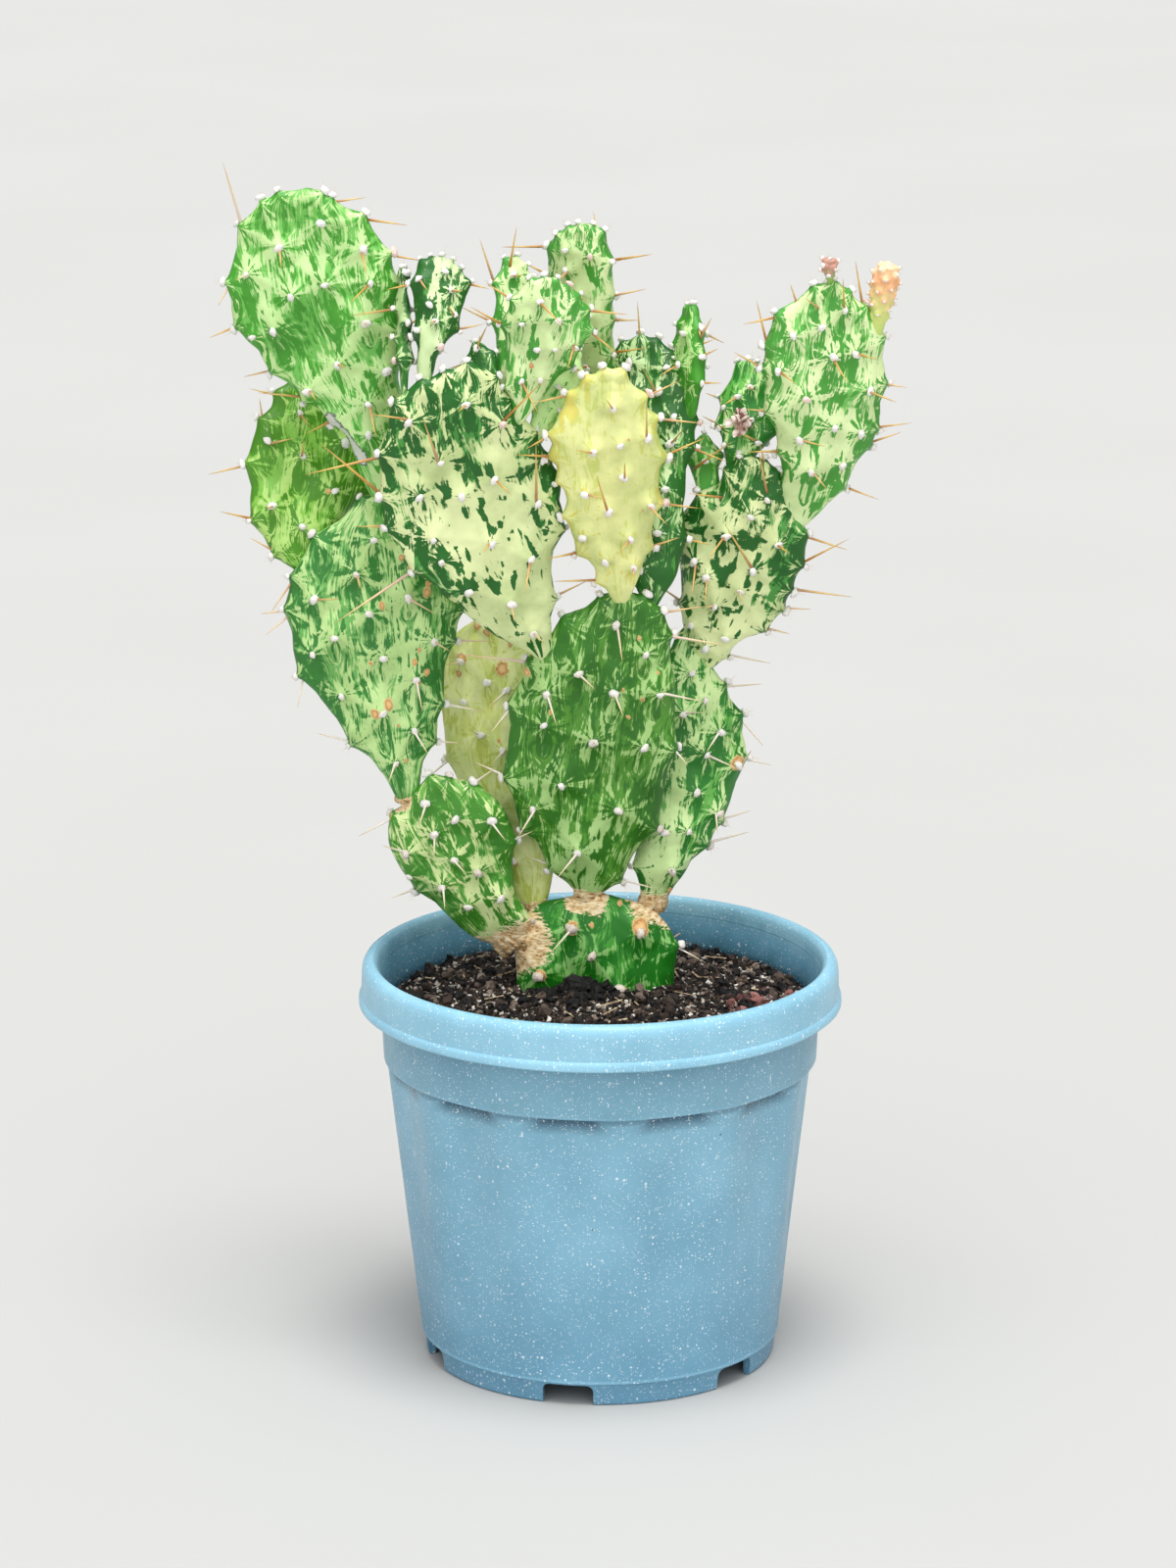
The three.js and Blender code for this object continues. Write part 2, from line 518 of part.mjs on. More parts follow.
// Moves the grid point nearest each areole onto it, so that every tubercle has its own peak
function padGrid(pad, grow) {
  const columns = padColumns(pad);
  const grid = padRows(pad).map((v) => columns.map((s) => ({
    v,
    u: s * (halfWidth(pad, v, s) + grow - (Math.abs(s) === 1 ? 0.3 * SCALLOP : 0)),
    lift: null,
  })));
  const last = columns.length - 1;
  for (const [av, au] of pad.areoles) {
    let best = null;
    for (const row of grid) {
      for (const point of row.slice(1, last)) {
        const distance = Math.hypot(point.v - av - pad.sink, point.u - au);
        if (point.lift === null && (!best || distance < best.distance)) best = { point, distance };
      }
    }
    if (best && best.distance < AREOLE_SNAP) {
      Object.assign(best.point, { v: av + pad.sink, u: au, lift: AREOLE_LIFT });
    }
  }
  for (const [places, column, side] of [[pad.edge.left, 0, -1], [pad.edge.right, last, 1]]) {
    for (const place of places) {
      const v = place + pad.sink;
      const away = (row) => Math.abs(row[column].v - v);
      const row = grid.reduce((near, next) => (away(next) < away(near) ? next : near));
      Object.assign(row[column], { v, u: side * (halfWidth(pad, v, side) + SCALLOP + grow), lift: 0 });
    }
  }
  return grid;
}

function faceHeight(pad, point) {
  const lift = point.lift ?? 0.5 * areoleLift(pad, point.v, point.u);
  return halfThickness(pad, point.v, point.u) + lift;
}

function padSolid(pad, grow = 0) {
  const grid = padGrid(pad, grow);
  const last = grid[0].length - 1;
  const positions = [];
  const place = (v, u, n) => {
    positions.push(...padPoint(pad, v, u, n).toArray());
    return positions.length / 3 - 1;
  };
  const rows = grid.map((row) => {
    const front = row.map((point, column) => {
      if (column === 0 || column === last) return place(point.v, point.u, 0);
      return place(point.v, point.u, faceHeight(pad, point) + grow);
    });
    const back = row.map((point, column) => {
      if (column === 0 || column === last) return front[column];
      return place(point.v, point.u, -faceHeight(pad, point) - grow);
    });
    return { front, back };
  });
  const foot = place(-grow, 0, 0);
  const crown = place(pad.length + grow, 0, 0);
  const triangles = [];
  const quad = (a, b, c, d) => triangles.push(a, b, c, a, c, d);
  for (let k = 0; k < rows.length - 1; k += 1) {
    for (let c = 0; c < last; c += 1) {
      quad(rows[k].front[c], rows[k].front[c + 1], rows[k + 1].front[c + 1], rows[k + 1].front[c]);
      quad(rows[k].back[c + 1], rows[k].back[c], rows[k + 1].back[c], rows[k + 1].back[c + 1]);
    }
  }
  const end = rows[rows.length - 1];
  for (let c = 0; c < last; c += 1) {
    triangles.push(foot, rows[0].front[c + 1], rows[0].front[c]);
    triangles.push(foot, rows[0].back[c], rows[0].back[c + 1]);
    triangles.push(crown, end.front[c], end.front[c + 1]);
    triangles.push(crown, end.back[c + 1], end.back[c]);
  }
  return solidOf(positions, triangles);
}

// Spines: three-sided needles, rooted in an areole, kept clear of other pads, needles and the pot
const placedSpines = [];

function needle(root, tip, radius) {
  const axis = tip.clone().sub(root).normalize();
  const level = Math.abs(axis.z) < 0.8 ? UP : FORWARD;
  const side = axis.clone().cross(level).normalize();
  const foot = root.clone().addScaledVector(axis, -SPINE_SINK);
  const positions = [];
  for (let k = 0; k < 3; k += 1) {
    const arm = side.clone().applyAxisAngle(axis, (k * 2 * Math.PI) / 3).multiplyScalar(radius);
    positions.push(...foot.clone().add(arm).toArray());
  }
  positions.push(...tip.toArray());
  return solidOf(positions, [0, 2, 1, 0, 1, 3, 1, 2, 3, 2, 0, 3]);
}

function insidePad(pad, point, margin) {
  const away = point.clone().sub(pad.start);
  const v = away.dot(pad.along);
  if (v < -margin || v > pad.length + margin) return false;
  const u = away.dot(pad.across);
  if (Math.abs(u) > halfWidth(pad, v, u) + SCALLOP + margin) return false;
  const inner = u * 0.9;
  return Math.abs(away.dot(pad.out)) < Math.max(halfThickness(pad, v, inner), 1) + AREOLE_LIFT + margin;
}

function insideOther(point) {
  const radius = Math.hypot(point.x, point.y);
  if (radius > SOIL_RADIUS - 3 && point.z < POT_HEIGHT + SPINE_CLEARANCE) return true;
  if (point.z < soilHeight(radius) + SOIL_ROUGHNESS + SPINE_CLEARANCE) return true;
  const balls = [BUD_SMALL, BUD_ORANGE].flatMap((bud) => [[bud.top, bud.radius], [bud.foot, bud.radius]]);
  balls.push([DRIED_FLOWER.centre, DRIED_FLOWER.radius]);
  return balls.some(([centre, r]) => point.distanceTo(new THREE.Vector3(...centre)) < r + SPINE_CLEARANCE);
}

function spinePoints(root, tip) {
  return Array.from({ length: SPINE_STEPS + 1 }, (_, k) => root.clone().lerp(tip, k / SPINE_STEPS));
}

function spineIsClear(own, root, tip) {
  const points = spinePoints(root, tip);
  if (points.slice(1).some(insideOther)) return false;
  for (const [name, pad] of Object.entries(pads)) {
    if (name !== own && points.some((point) => insidePad(pad, point, SPINE_CLEARANCE))) return false;
    if (name === own && points.slice(4).some((point) => insidePad(pad, point, 0))) return false;
  }
  const near = (p) => points.some((q) => p.distanceTo(q) < SPINE_CLEARANCE);
  return !placedSpines.some((other) => other.some(near));
}

function surfaceRoot(pad, v, u, face) {
  const along = v + pad.sink;
  const width = halfWidth(pad, along, u);
  if (Math.abs(u) > 0.86 * width) {
    return padPoint(pad, along, Math.sign(u) * (width + 0.3), 0);
  }
  return padPoint(pad, along, u, face * (halfThickness(pad, along, u) + AREOLE_LIFT - 0.4));
}

function tryNeedle(name, root, reach) {
  const tip = root.clone().add(reach);
  if (!spineIsClear(name, root, tip)) return null;
  placedSpines.push(spinePoints(root, tip));
  return needle(root, tip, SPINE_RADIUS);
}

function padSpines(name, pad) {
  const needles = [];
  const keep = (solid) => {
    if (solid) needles.push(solid);
    return solid;
  };
  for (const [v, u, x, y, z] of pad.spines) {
    const root = surfaceRoot(pad, v, u, 1);
    [0, -4, -8, 4].some((bend) => keep(tryNeedle(name, root, new THREE.Vector3(x, y + bend, z))));
  }
  const reach = () => draw(...(pad.length < SMALL_PAD ? SMALL_PAD_SPINE_LENGTH : SPINE_LENGTH));
  pad.areoles.forEach(([v, u], k) => {
    for (const face of [1, -1]) {
      if ((k + (face > 0 ? 0 : 1)) % 2 === 1) continue;
      const root = surfaceRoot(pad, v, u, face);
      for (let attempt = 0; attempt < SPINE_TRIES; attempt += 1) {
        const away = pad.out.clone().multiplyScalar(face)
          .addScaledVector(pad.along, draw(-0.6, 0.4))
          .addScaledVector(pad.across, draw(-0.6, 0.6))
          .normalize();
        if (keep(tryNeedle(name, root, away.multiplyScalar(reach())))) break;
      }
    }
  });
  for (const [places, side] of [[pad.edge.left, -1], [pad.edge.right, 1]]) {
    for (const v of places) {
      const root = surfaceRoot(pad, v, side * halfWidth(pad, v + pad.sink, side), 1);
      for (let attempt = 0; attempt < SPINE_TRIES; attempt += 1) {
        const away = pad.across.clone().multiplyScalar(side)
          .addScaledVector(pad.along, draw(-0.5, 0.5))
          .addScaledVector(pad.out, draw(-0.6, 0.6))
          .normalize();
        if (keep(tryNeedle(name, root, away.multiplyScalar(reach())))) break;
      }
    }
  }
  return needles;
}

// Buds and the dried flower: small lumpy bodies turned about their own line
function lump(foot, top, radii, sides, bumps) {
  const from = new THREE.Vector3(...foot);
  const to = new THREE.Vector3(...top);
  const length = from.distanceTo(to);
  const points = radii.map(([radius, share]) => new THREE.Vector2(radius, share * length));
  const geometry = new THREE.LatheGeometry(points, sides);
  const position = geometry.attributes.position;
  for (let k = 0; k < position.count; k += 1) {
    const ring = k % points.length;
    const segment = Math.floor(k / points.length) % sides;
    const swell = 1 + bumps * ((ring + segment) % 2);
    position.setXYZ(k, position.getX(k) * swell, position.getY(k), position.getZ(k) * swell);
  }
  const lathed = new THREE.Vector3(0, 1, 0);
  const line = to.clone().sub(from).normalize();
  geometry.applyQuaternion(new THREE.Quaternion().setFromUnitVectors(lathed, line));
  geometry.translate(from.x, from.y, from.z);
  const solid = solidOfGeometry(geometry);
  return solid.volume() > 0 ? solid : solidOfGeometry(flipped(geometry));
}

function buildBudSmall() {
  const r = BUD_SMALL.radius;
  const radii = [[0, 0], [1.2, 0.02], [1, 0.4], [r, 0.66], [r, 0.86], [0, 1]];
  return lump(BUD_SMALL.foot, BUD_SMALL.top, radii, 10, 0.14);
}

function buildBudOrange() {
  const r = BUD_ORANGE.radius;
  const stalk = [[0, 0], [2.2, 0.02], [2.8, 0.2], [r * 0.7, 0.4]];
  const crown = [[r, 0.62], [r * 0.88, 0.82], [r * 0.5, 0.95], [0, 1]];
  return lump(BUD_ORANGE.foot, BUD_ORANGE.top, [...stalk, ...crown], 12, 0.12);
}

function buildDriedFlower() {
  const [x, y, z] = DRIED_FLOWER.centre;
  const r = DRIED_FLOWER.radius;
  const radii = [[0, 0], [r * 0.7, 0.1], [r, 0.4], [r * 0.95, 0.65], [r * 0.6, 0.92], [0, 1]];
  return lump([x, y + r, z], [x, y - r, z], radii, 9, 0.3);
}

// Assembly, from the pot upwards
const pads = {};
for (const [name, spec] of Object.entries(PADS)) pads[name] = placePad(spec, pads[spec.on]);

addPiece('pot', buildPot(), MATERIALS.potPlastic);
addPiece('soil', buildSoil(padSolid(pads.pad_base, SOIL_GAP)), MATERIALS.soil);

for (const [name, pad] of Object.entries(pads)) {
  let solid = padSolid(pad);
  if (pad.on) solid = solid.subtract(padSolid(pads[pad.on], JOINT_GAP));
  for (const spine of padSpines(name, pad)) solid = solid.add(spine);
  addPiece(name, solid, MATERIALS[pad.skin]);
}

const seated = (solid, name) => solid.subtract(padSolid(pads[name], JOINT_GAP));
addPiece('bud_small', seated(buildBudSmall(), BUD_SMALL.on), MATERIALS.budSkin);
addPiece('bud_orange', seated(buildBudOrange(), BUD_ORANGE.on), MATERIALS.budSkin);
addPiece('dried_flower', seated(buildDriedFlower(), DRIED_FLOWER.on), MATERIALS.driedFlower);

// The origin is the middle of the bounding box, at the foot of the pot
const box = new THREE.Box3().setFromObject(object);
object.position.set(-(box.min.x + box.max.x) / 2, -(box.min.y + box.max.y) / 2, -box.min.z);

export default object;
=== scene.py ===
# A variegated prickly pear in a blue nursery pot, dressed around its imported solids.
# Metres, +Z up, the photographed front towards -Y. Sizes named in the sections are millimetres.
import math
import random

import bpy
import numpy as np
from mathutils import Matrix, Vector


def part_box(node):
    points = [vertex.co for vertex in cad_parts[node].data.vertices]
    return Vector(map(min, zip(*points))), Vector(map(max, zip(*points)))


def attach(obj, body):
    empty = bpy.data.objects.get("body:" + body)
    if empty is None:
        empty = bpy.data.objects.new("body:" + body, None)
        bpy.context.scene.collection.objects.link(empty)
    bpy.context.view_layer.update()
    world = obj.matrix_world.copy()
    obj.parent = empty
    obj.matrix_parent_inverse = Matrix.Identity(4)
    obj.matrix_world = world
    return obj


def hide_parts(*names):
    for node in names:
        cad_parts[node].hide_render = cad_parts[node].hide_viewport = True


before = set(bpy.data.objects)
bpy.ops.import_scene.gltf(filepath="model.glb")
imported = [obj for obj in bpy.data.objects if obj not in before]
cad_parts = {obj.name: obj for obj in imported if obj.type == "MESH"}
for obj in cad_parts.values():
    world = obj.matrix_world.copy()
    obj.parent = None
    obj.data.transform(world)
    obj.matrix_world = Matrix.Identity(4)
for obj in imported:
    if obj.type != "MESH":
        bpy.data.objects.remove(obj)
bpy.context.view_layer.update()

mm = 0.001
chance = random.Random(41)


# Pot
# A thin nursery pot of pale blue plastic with white flecks, moulded in one piece: a turned-down
# rim, a plain collar, and a body whose twelve flutes fade out above six feet and a mould line.
pot_low, pot_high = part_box("pot")
pot_axis = Vector(((pot_low.x + pot_high.x) / 2, (pot_low.y + pot_high.y) / 2, 0))
pot_rim = (pot_high.x - pot_low.x) / 2 / mm
pot_height = pot_high.z / mm
POT_SIDES = 288
FLUTES = 12
FLUTE_DEPTH = 3.3
FLUTE_PHASE = math.radians(-9)
BODY_FOOT = 8.8
WALL_OUTSIDE_OF = 60
BODY_TOP = 107
COLLAR_FOOT = 109.5
POT_FEET = 6
NOTCH_PHASE = math.radians(-10.5)
NOTCH_SIZES = (18, 20, 15)
NOTCH_REACH = 64.5
NOTCH_ROUNDING = 2.5
DRAIN_RING = 38
DRAIN_RADIUS = 5.5
DRAIN_DEPTH = 8
DRAIN_MIDDLE = 9
# Radius and height of the outline: foot, mould line, body, collar, rim, then down the inside.
POT_ROWS = [
    (57, 7.5), (59.5, 7.3), (59.7, 0.7), (60.2, 0.1), (61.7, 0.1), (62.2, 0.7),
    (63.1, 7.9), (63.9, 8.3), (64, 8.8), (63.9, 9.4), (65.3, 20), (67.1, 36), (69, 52),
    (70.8, 68), (72.7, 84), (74.3, 98), (75, 104), (75.3, BODY_TOP), (75.5, 108.4),
    (76.4, 109.1), (76.6, COLLAR_FOOT),
    (77, 119), (77.3, 128), (77.8, 139.5), (82.4, 139.5), (82.9, 129.6), (83.4, 129),
    (84.6, 129), (pot_rim, 129.5), (pot_rim, 131.2), (84.8, 132), (84.3, 132.6),
    (84.2, 136), (84.1, 140.2), (83.8, 142.4), (83.1, 143.8), (82.1, 144.6), (81, pot_height),
    (80, 144.9), (79.1, 144.2), (78.5, 143), (78.1, 141), (77, 134), (75.7, 127.9),
    (75.3, 119), (74.9, 109.5), (74.2, 108.6), (73.6, 107), (72.6, 98), (69.3, 68), (66.2, 40),
    (63.6, 18), (62.6, 11.5), (61, 10), (40, 10),
]


def start_fresh():
    if bpy.context.object and bpy.context.object.mode != "OBJECT":
        bpy.ops.object.mode_set(mode="OBJECT")
    bpy.ops.object.select_all(action="DESELECT")


def knot(tree, kind, sockets=None, **settings):
    """A shader node, its settings, and its sockets set to numbers or joined to other nodes."""
    made = tree.nodes.new(kind)
    for name, value in settings.items():
        setattr(made, name, value)
    for name, value in (sockets or {}).items():
        if isinstance(value, bpy.types.NodeSocket):
            tree.links.new(value, made.inputs[name])
        else:
            made.inputs[name].default_value = value
    return made


def tint(red, green, blue):
    """A screen colour, 0 to 255, as the linear colour that shaders take."""
    return [((c / 255 + 0.055) / 1.055) ** 2.4 if c > 10 else c / 3294 for c in (red, green, blue)] + [1]


def maths(tree, operation, a, b=0.0, c=0.0, clamp=False):
    sockets = {0: a, 1: b, 2: c}
    return knot(tree, "ShaderNodeMath", sockets, operation=operation, use_clamp=clamp).outputs[0]


def ramp(tree, value, stops):
    """A colour ramp; stops are (place, colour), the colour a grey, a screen colour or a tint."""
    made = knot(tree, "ShaderNodeValToRGB", {0: value})
    band = made.color_ramp.elements
    while len(band) < len(stops):
        band.new(0.5)
    for mark, (place, colour) in zip(band, stops):
        mark.position = place
    for mark, (place, colour) in zip(band, stops):
        if isinstance(colour, tuple):
            colour = tint(*colour)
        elif not isinstance(colour, list):
            colour = (colour, colour, colour, 1)
        mark.color = colour
    return made.outputs[0]


def blended(tree, share, under, over, way="MIX"):
    sockets = {0: share, 6: under, 7: over}
    return knot(tree, "ShaderNodeMix", sockets, data_type="RGBA", blend_type=way).outputs[2]


def grain(tree, where, scale, detail=2.0, roughness=0.5):
    sockets = {"Vector": where, "Scale": scale, "Detail": detail, "Roughness": roughness}
    return knot(tree, "ShaderNodeTexNoise", sockets).outputs["Fac"]


def stretched(tree, where, scale):
    return knot(tree, "ShaderNodeMapping", {"Vector": where, "Scale": scale}).outputs[0]


def shifted(tree, value, noise, amount):
    """A value moved up and down by a noise, by the amount in all."""
    return maths(tree, "MULTIPLY_ADD", maths(tree, "SUBTRACT", noise, 0.5), amount, value)


def new_finish(name, roughness, specular=0.5, coat=0.0, sheen=0.0):
    """A material with its surface shader, and where a point lies on the object."""
    finish = bpy.data.materials.new(name)
    finish.use_nodes = True
    tree = finish.node_tree
    surface = tree.nodes["Principled BSDF"]
    surface.inputs["Roughness"].default_value = roughness
    surface.inputs["Specular IOR Level"].default_value = specular
    surface.inputs["Coat Weight"].default_value = coat
    surface.inputs["Sheen Weight"].default_value = sheen
    where = knot(tree, "ShaderNodeTexCoord").outputs["Object"]
    return finish, tree, surface, where


def dress(tree, surface, colour, height, strength, distance, roughness=None):
    """Gives a surface its colour, its fine relief and, where it varies, its roughness."""
    tree.links.new(colour, surface.inputs["Base Color"])
    bump = knot(tree, "ShaderNodeBump", {"Height": height, "Strength": strength, "Distance": distance})
    tree.links.new(bump.outputs[0], surface.inputs["Normal"])
    if roughness is not None:
        tree.links.new(roughness, surface.inputs["Roughness"])


def blue_with_painted_shade(tree, where, cloud):
    """Pale blue with painted shade: darker to the foot, on the collar, under its edge and down the inner
    wall.
    """
    blue = ramp(tree, cloud, [(0.3, (129, 181, 204)), (0.7, (151, 202, 224))])
    height = knot(tree, "ShaderNodeSeparateXYZ", {0: where}).outputs[2]
    rise = maths(tree, "MULTIPLY", height, 1 / (pot_height * mm))
    level = knot(tree, "ShaderNodeMapping", {"Vector": where, "Scale": (1, 1, 0)})
    level.inputs["Location"].default_value = -pot_axis
    reach = knot(tree, "ShaderNodeVectorMath", {0: level.outputs[0]}, operation="LENGTH").outputs["Value"]
    # Painted shade by height, as if lit from above: darker towards the foot and on the collar under the rim,
    # lighter on the rim; a pale line along the mould line.
    painted_height_shade = ramp(tree, rise, [
        (0.03, (186, 202, 214)), (0.056, (188, 204, 214)), (0.0605, (250, 252, 255)),
        (0.065, (190, 206, 216)), (0.3, (216, 224, 230)), (0.6, (236, 239, 242)),
        (0.755, (240, 242, 244)), (0.762, (226, 229, 231)), (0.86, (222, 226, 229)),
        (0.885, (206, 214, 218)), (0.892, (255, 255, 255)),
    ])
    blue = blended(tree, 1.0, blue, painted_height_shade, "MULTIPLY")
    # The inner wall is what lies high up inside a steep cone.
    cone = maths(tree, "MULTIPLY_ADD", height, -0.25, reach)
    inner = maths(tree, "LESS_THAN", cone, 0.0446)
    inner = maths(tree, "MULTIPLY", inner, maths(tree, "GREATER_THAN", height, 0.1))
    # Painted shade down the inner wall, darkest near the soil.
    smeared = maths(tree, "MULTIPLY", shifted(tree, height, cloud, 0.02), 1 / (pot_height * mm))
    shaded = ramp(tree, smeared, [
        (0.86, (112, 138, 148)), (0.93, (188, 214, 226)), (0.965, (228, 238, 243)),
        (0.98, (255, 255, 255)),
    ])
    blue = blended(tree, inner, blue, blended(tree, 1.0, blue, shaded, "MULTIPLY"))
    # Painted shadow under the collar's edge, deepest at the heads of the flutes that its ledge overhangs.
    hollow = maths(tree, "MULTIPLY_ADD", reach, -600, 45.1, clamp=True)
    flute_head = ramp(tree, rise, [(0.705, 0.0), (0.74, 1.0), (0.752, 1.0), (0.754, 0.0)])
    painted_shadow_line = ramp(tree, rise, [(0.732, 0.0), (0.741, 0.5), (0.75, 0.5), (0.754, 0.0)])
    painted_ledge_shadow = maths(tree, "MAXIMUM", maths(tree, "MULTIPLY", hollow, flute_head), painted_shadow_line)
    return blended(tree, painted_ledge_shadow, blue, blended(tree, 1.0, blue, tint(124, 140, 150), "MULTIPLY"))


def specks(tree, place, scale, channel, power, size):
    """Where round specks lie, few of them large, and the random colour of each one's cell."""
    cells = knot(tree, "ShaderNodeTexVoronoi", {"Vector": place, "Scale": scale})
    cell = knot(tree, "ShaderNodeSeparateColor", {0: cells.outputs["Color"]}).outputs
    reach = maths(tree, "MULTIPLY", maths(tree, "POWER", cell[channel], power), size)
    return maths(tree, "LESS_THAN", cells.outputs["Distance"], reach), cell


def flecked_plastic():
    finish, tree, surface, where = new_finish("flecked blue plastic", 0.4, 0.4)
    cloud = grain(tree, where, 26, 4, 0.6)
    upright = stretched(tree, where, (1, 1, 0.3))
    curls = knot(tree, "ShaderNodeTexNoise", {"Vector": where, "Scale": 140.0}).outputs["Color"]
    curled = blended(tree, 0.006, upright, curls)
    flecks = None
    for place, scale, power, size in (
        (where, 170.0, 9.0, 0.1), (where, 400.0, 3.0, 0.22), (where, 800.0, 2.0, 0.3),
        (where, 1500.0, 1.5, 0.34), (curled, 300.0, 3.5, 0.14),
    ):
        fleck, cell = specks(tree, place, scale, 0, power, size)
        fleck = maths(tree, "MULTIPLY", fleck, maths(tree, "MULTIPLY_ADD", cell[2], 0.5, 0.3))
        flecks = fleck if flecks is None else maths(tree, "MAXIMUM", flecks, fleck)
    dark_speck, cell = specks(tree, where, 130.0, 1, 12.0, 0.06)
    colour = blended(tree, flecks, blue_with_painted_shade(tree, where, cloud), tint(236, 246, 250))
    colour = blended(tree, dark_speck, colour, tint(70, 88, 98))
    gloss = ramp(tree, grain(tree, where, 120, 2), [(0.3, 0.34), (0.75, 0.46)])
    dress(tree, surface, colour, grain(tree, where, 900, 2), 0.08, 0.0002, gloss)
    return finish


def flute_depth(height):
    """How far the flutes are sunk at a height, nothing at the foot and under the collar."""
    rise = np.clip((height - BODY_FOOT) / (BODY_TOP - BODY_FOOT), 0, 1)
    return FLUTE_DEPTH * rise * np.clip((COLLAR_FOOT - 0.3 - height) / 0.8, 0, 1)


def fluted(flat, depth):
    """Points in mm round the pot's axis, drawn in towards it by a depth wherever a flute is."""
    reach = np.hypot(flat[:, 0], flat[:, 1])
    wave = 0.5 + 0.5 * np.cos(FLUTES * (np.arctan2(flat[:, 0], -flat[:, 1]) - FLUTE_PHASE))
    shrink = 1 - depth * wave / np.maximum(reach, 1)
    return np.stack([flat[:, 0] * shrink, flat[:, 1] * shrink, flat[:, 2]], 1)


start_fresh()
first_radius, first_height = POT_ROWS[0]
bpy.ops.mesh.primitive_circle_add(
    vertices=POT_SIDES, radius=first_radius * mm, location=pot_axis + Vector((0, 0, first_height * mm))
)
pot = bpy.context.object
pot.name = "nursery_pot"
bpy.ops.object.mode_set(mode="EDIT")
radius, height = first_radius, first_height
for next_radius, next_height in POT_ROWS[1:]:
    bpy.ops.mesh.extrude_region_move(
        TRANSFORM_OT_translate={"value": (0, 0, (next_height - height) * mm)}
    )
    grow = next_radius / radius
    bpy.ops.transform.resize(value=(grow, grow, 1), center_override=pot_axis)
    radius, height = next_radius, next_height
bpy.ops.mesh.edge_face_add()
bpy.ops.mesh.poke()
bpy.ops.mesh.select_all(action="DESELECT")
bpy.ops.mesh.select_mode(type="EDGE")
bpy.ops.mesh.select_non_manifold()
bpy.ops.mesh.edge_face_add()
bpy.ops.mesh.poke()
bpy.ops.mesh.select_all(action="SELECT")
bpy.ops.mesh.normals_make_consistent(inside=False)
bpy.ops.object.mode_set(mode="OBJECT")
bpy.ops.object.transform_apply(location=True)


def read_points(mesh):
    flat = np.empty(len(mesh.vertices) * 3)
    mesh.vertices.foreach_get("co", flat)
    return flat.reshape(-1, 3)


def write_points(mesh, points):
    mesh.vertices.foreach_set("co", np.ascontiguousarray(points, dtype=np.float32).ravel())
    mesh.update()


points = read_points(pot.data)
flat = (points - np.array(pot_axis)) / mm
on_wall = np.hypot(flat[:, 0], flat[:, 1]) > WALL_OUTSIDE_OF
flat = fluted(flat, flute_depth(flat[:, 2]) * on_wall)
write_points(pot.data, flat * mm + np.array(pot_axis))

cutters = []
for k in range(POT_FEET):
    start_fresh()
    way = NOTCH_PHASE + k * 2 * math.pi / POT_FEET
    bpy.ops.mesh.primitive_cube_add(size=1)
    cutter = bpy.context.object
    cutter.data.transform(cutter.matrix_world)
    shape = read_points(cutter.data) * np.array(NOTCH_SIZES) + np.array((0, -NOTCH_REACH, 0))
    write_points(cutter.data, shape * mm)
    bpy.ops.object.mode_set(mode="EDIT")
    bpy.ops.mesh.select_all(action="SELECT")
    bpy.ops.mesh.bevel(offset=NOTCH_ROUNDING * mm, segments=4)
    bpy.ops.object.mode_set(mode="OBJECT")
    cutter.rotation_euler = (0, 0, way)
    cutter.location = pot_axis
    cutters.append(cutter)
for k in range(POT_FEET + 1):
    start_fresh()
    way = NOTCH_PHASE + math.pi / POT_FEET + k * 2 * math.pi / POT_FEET
    out = 0 if k == POT_FEET else DRAIN_RING * mm
    middle = pot_axis + Vector((out * math.sin(way), -out * math.cos(way), DRAIN_MIDDLE * mm))
    bpy.ops.mesh.primitive_cylinder_add(
        vertices=32, radius=DRAIN_RADIUS * mm, depth=DRAIN_DEPTH * mm, location=middle
    )
    cutters.append(bpy.context.object)
start_fresh()
for cutter in cutters:
    cutter.select_set(True)
bpy.context.view_layer.objects.active = cutters[0]
bpy.ops.object.join()
cutter = bpy.context.object
start_fresh()
bpy.context.view_layer.objects.active = pot
pot.select_set(True)
cut = pot.modifiers.new("notches", "BOOLEAN")
cut.operation = "DIFFERENCE"
cut.solver = "EXACT"
cut.object = cutter
bpy.ops.object.modifier_apply(modifier="notches")
bpy.data.objects.remove(cutter)
bpy.ops.object.shade_smooth_by_angle(angle=math.radians(32))
pot.data.materials.clear()
pot.data.materials.append(flecked_plastic())
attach(pot, "root")
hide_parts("pot")


# Soil
# Dark potting mix of peat, bark and grit that fills the pot to its collar, mounded round the
# stem, with loose crumbs, pale grit, a few reddish lumps at the right, and dry fallen spines.
SOIL_EDGE = 127.5
SOIL_MOUND = 4
SOIL_RADIUS = 75.3
SOIL_FOOT = 10.5
COLLAR_INSIDE = 75.2
COLLAR_TAPER = 0.03
BODY_INSIDE = 73.2
BODY_TAPER = 0.113
FLUTES_INSIDE = 2.4
WALL_GAP = 0.6
# Middle x and y, half-width, half-depth and height of the bumps on the mound.
SOIL_BUMPS = ((-6, -5, 10, 5, 5), (26, -2, 7, 6, 2.5), (60, -5, 14.142, 14.142, 1.2))


def drift(places, seed):
    """Smooth seeded noise from -1 to 1 at rows of three coordinates."""
    cell = np.floor(places).astype(np.int64)
    part = places - cell
    part = part * part * (3 - 2 * part)
    total = np.zeros(len(places))
    for corner in range(8):
        step = np.array([(corner >> k) & 1 for k in range(3)])
        key = (cell + step) @ np.array([73856093, 19349663, 83492791]) + seed * 2654435
        key = (key ^ (key >> 13)) * 1274126177 & 0xFFFFFFFF
        key = (key ^ (key >> 16)) * 2246822519 & 0xFFFFFFFF
        value = ((key ^ (key >> 15)) & 0xFFFF) / 32767.5 - 1
        total += np.prod(np.where(step, part, 1 - part), axis=1) * value
    return total


def layered(places, seed, octaves=3):
    total = 0
    for k in range(octaves):
        total = total + drift(places * 2.03 ** k, seed + k) * 0.55 ** k
    return total


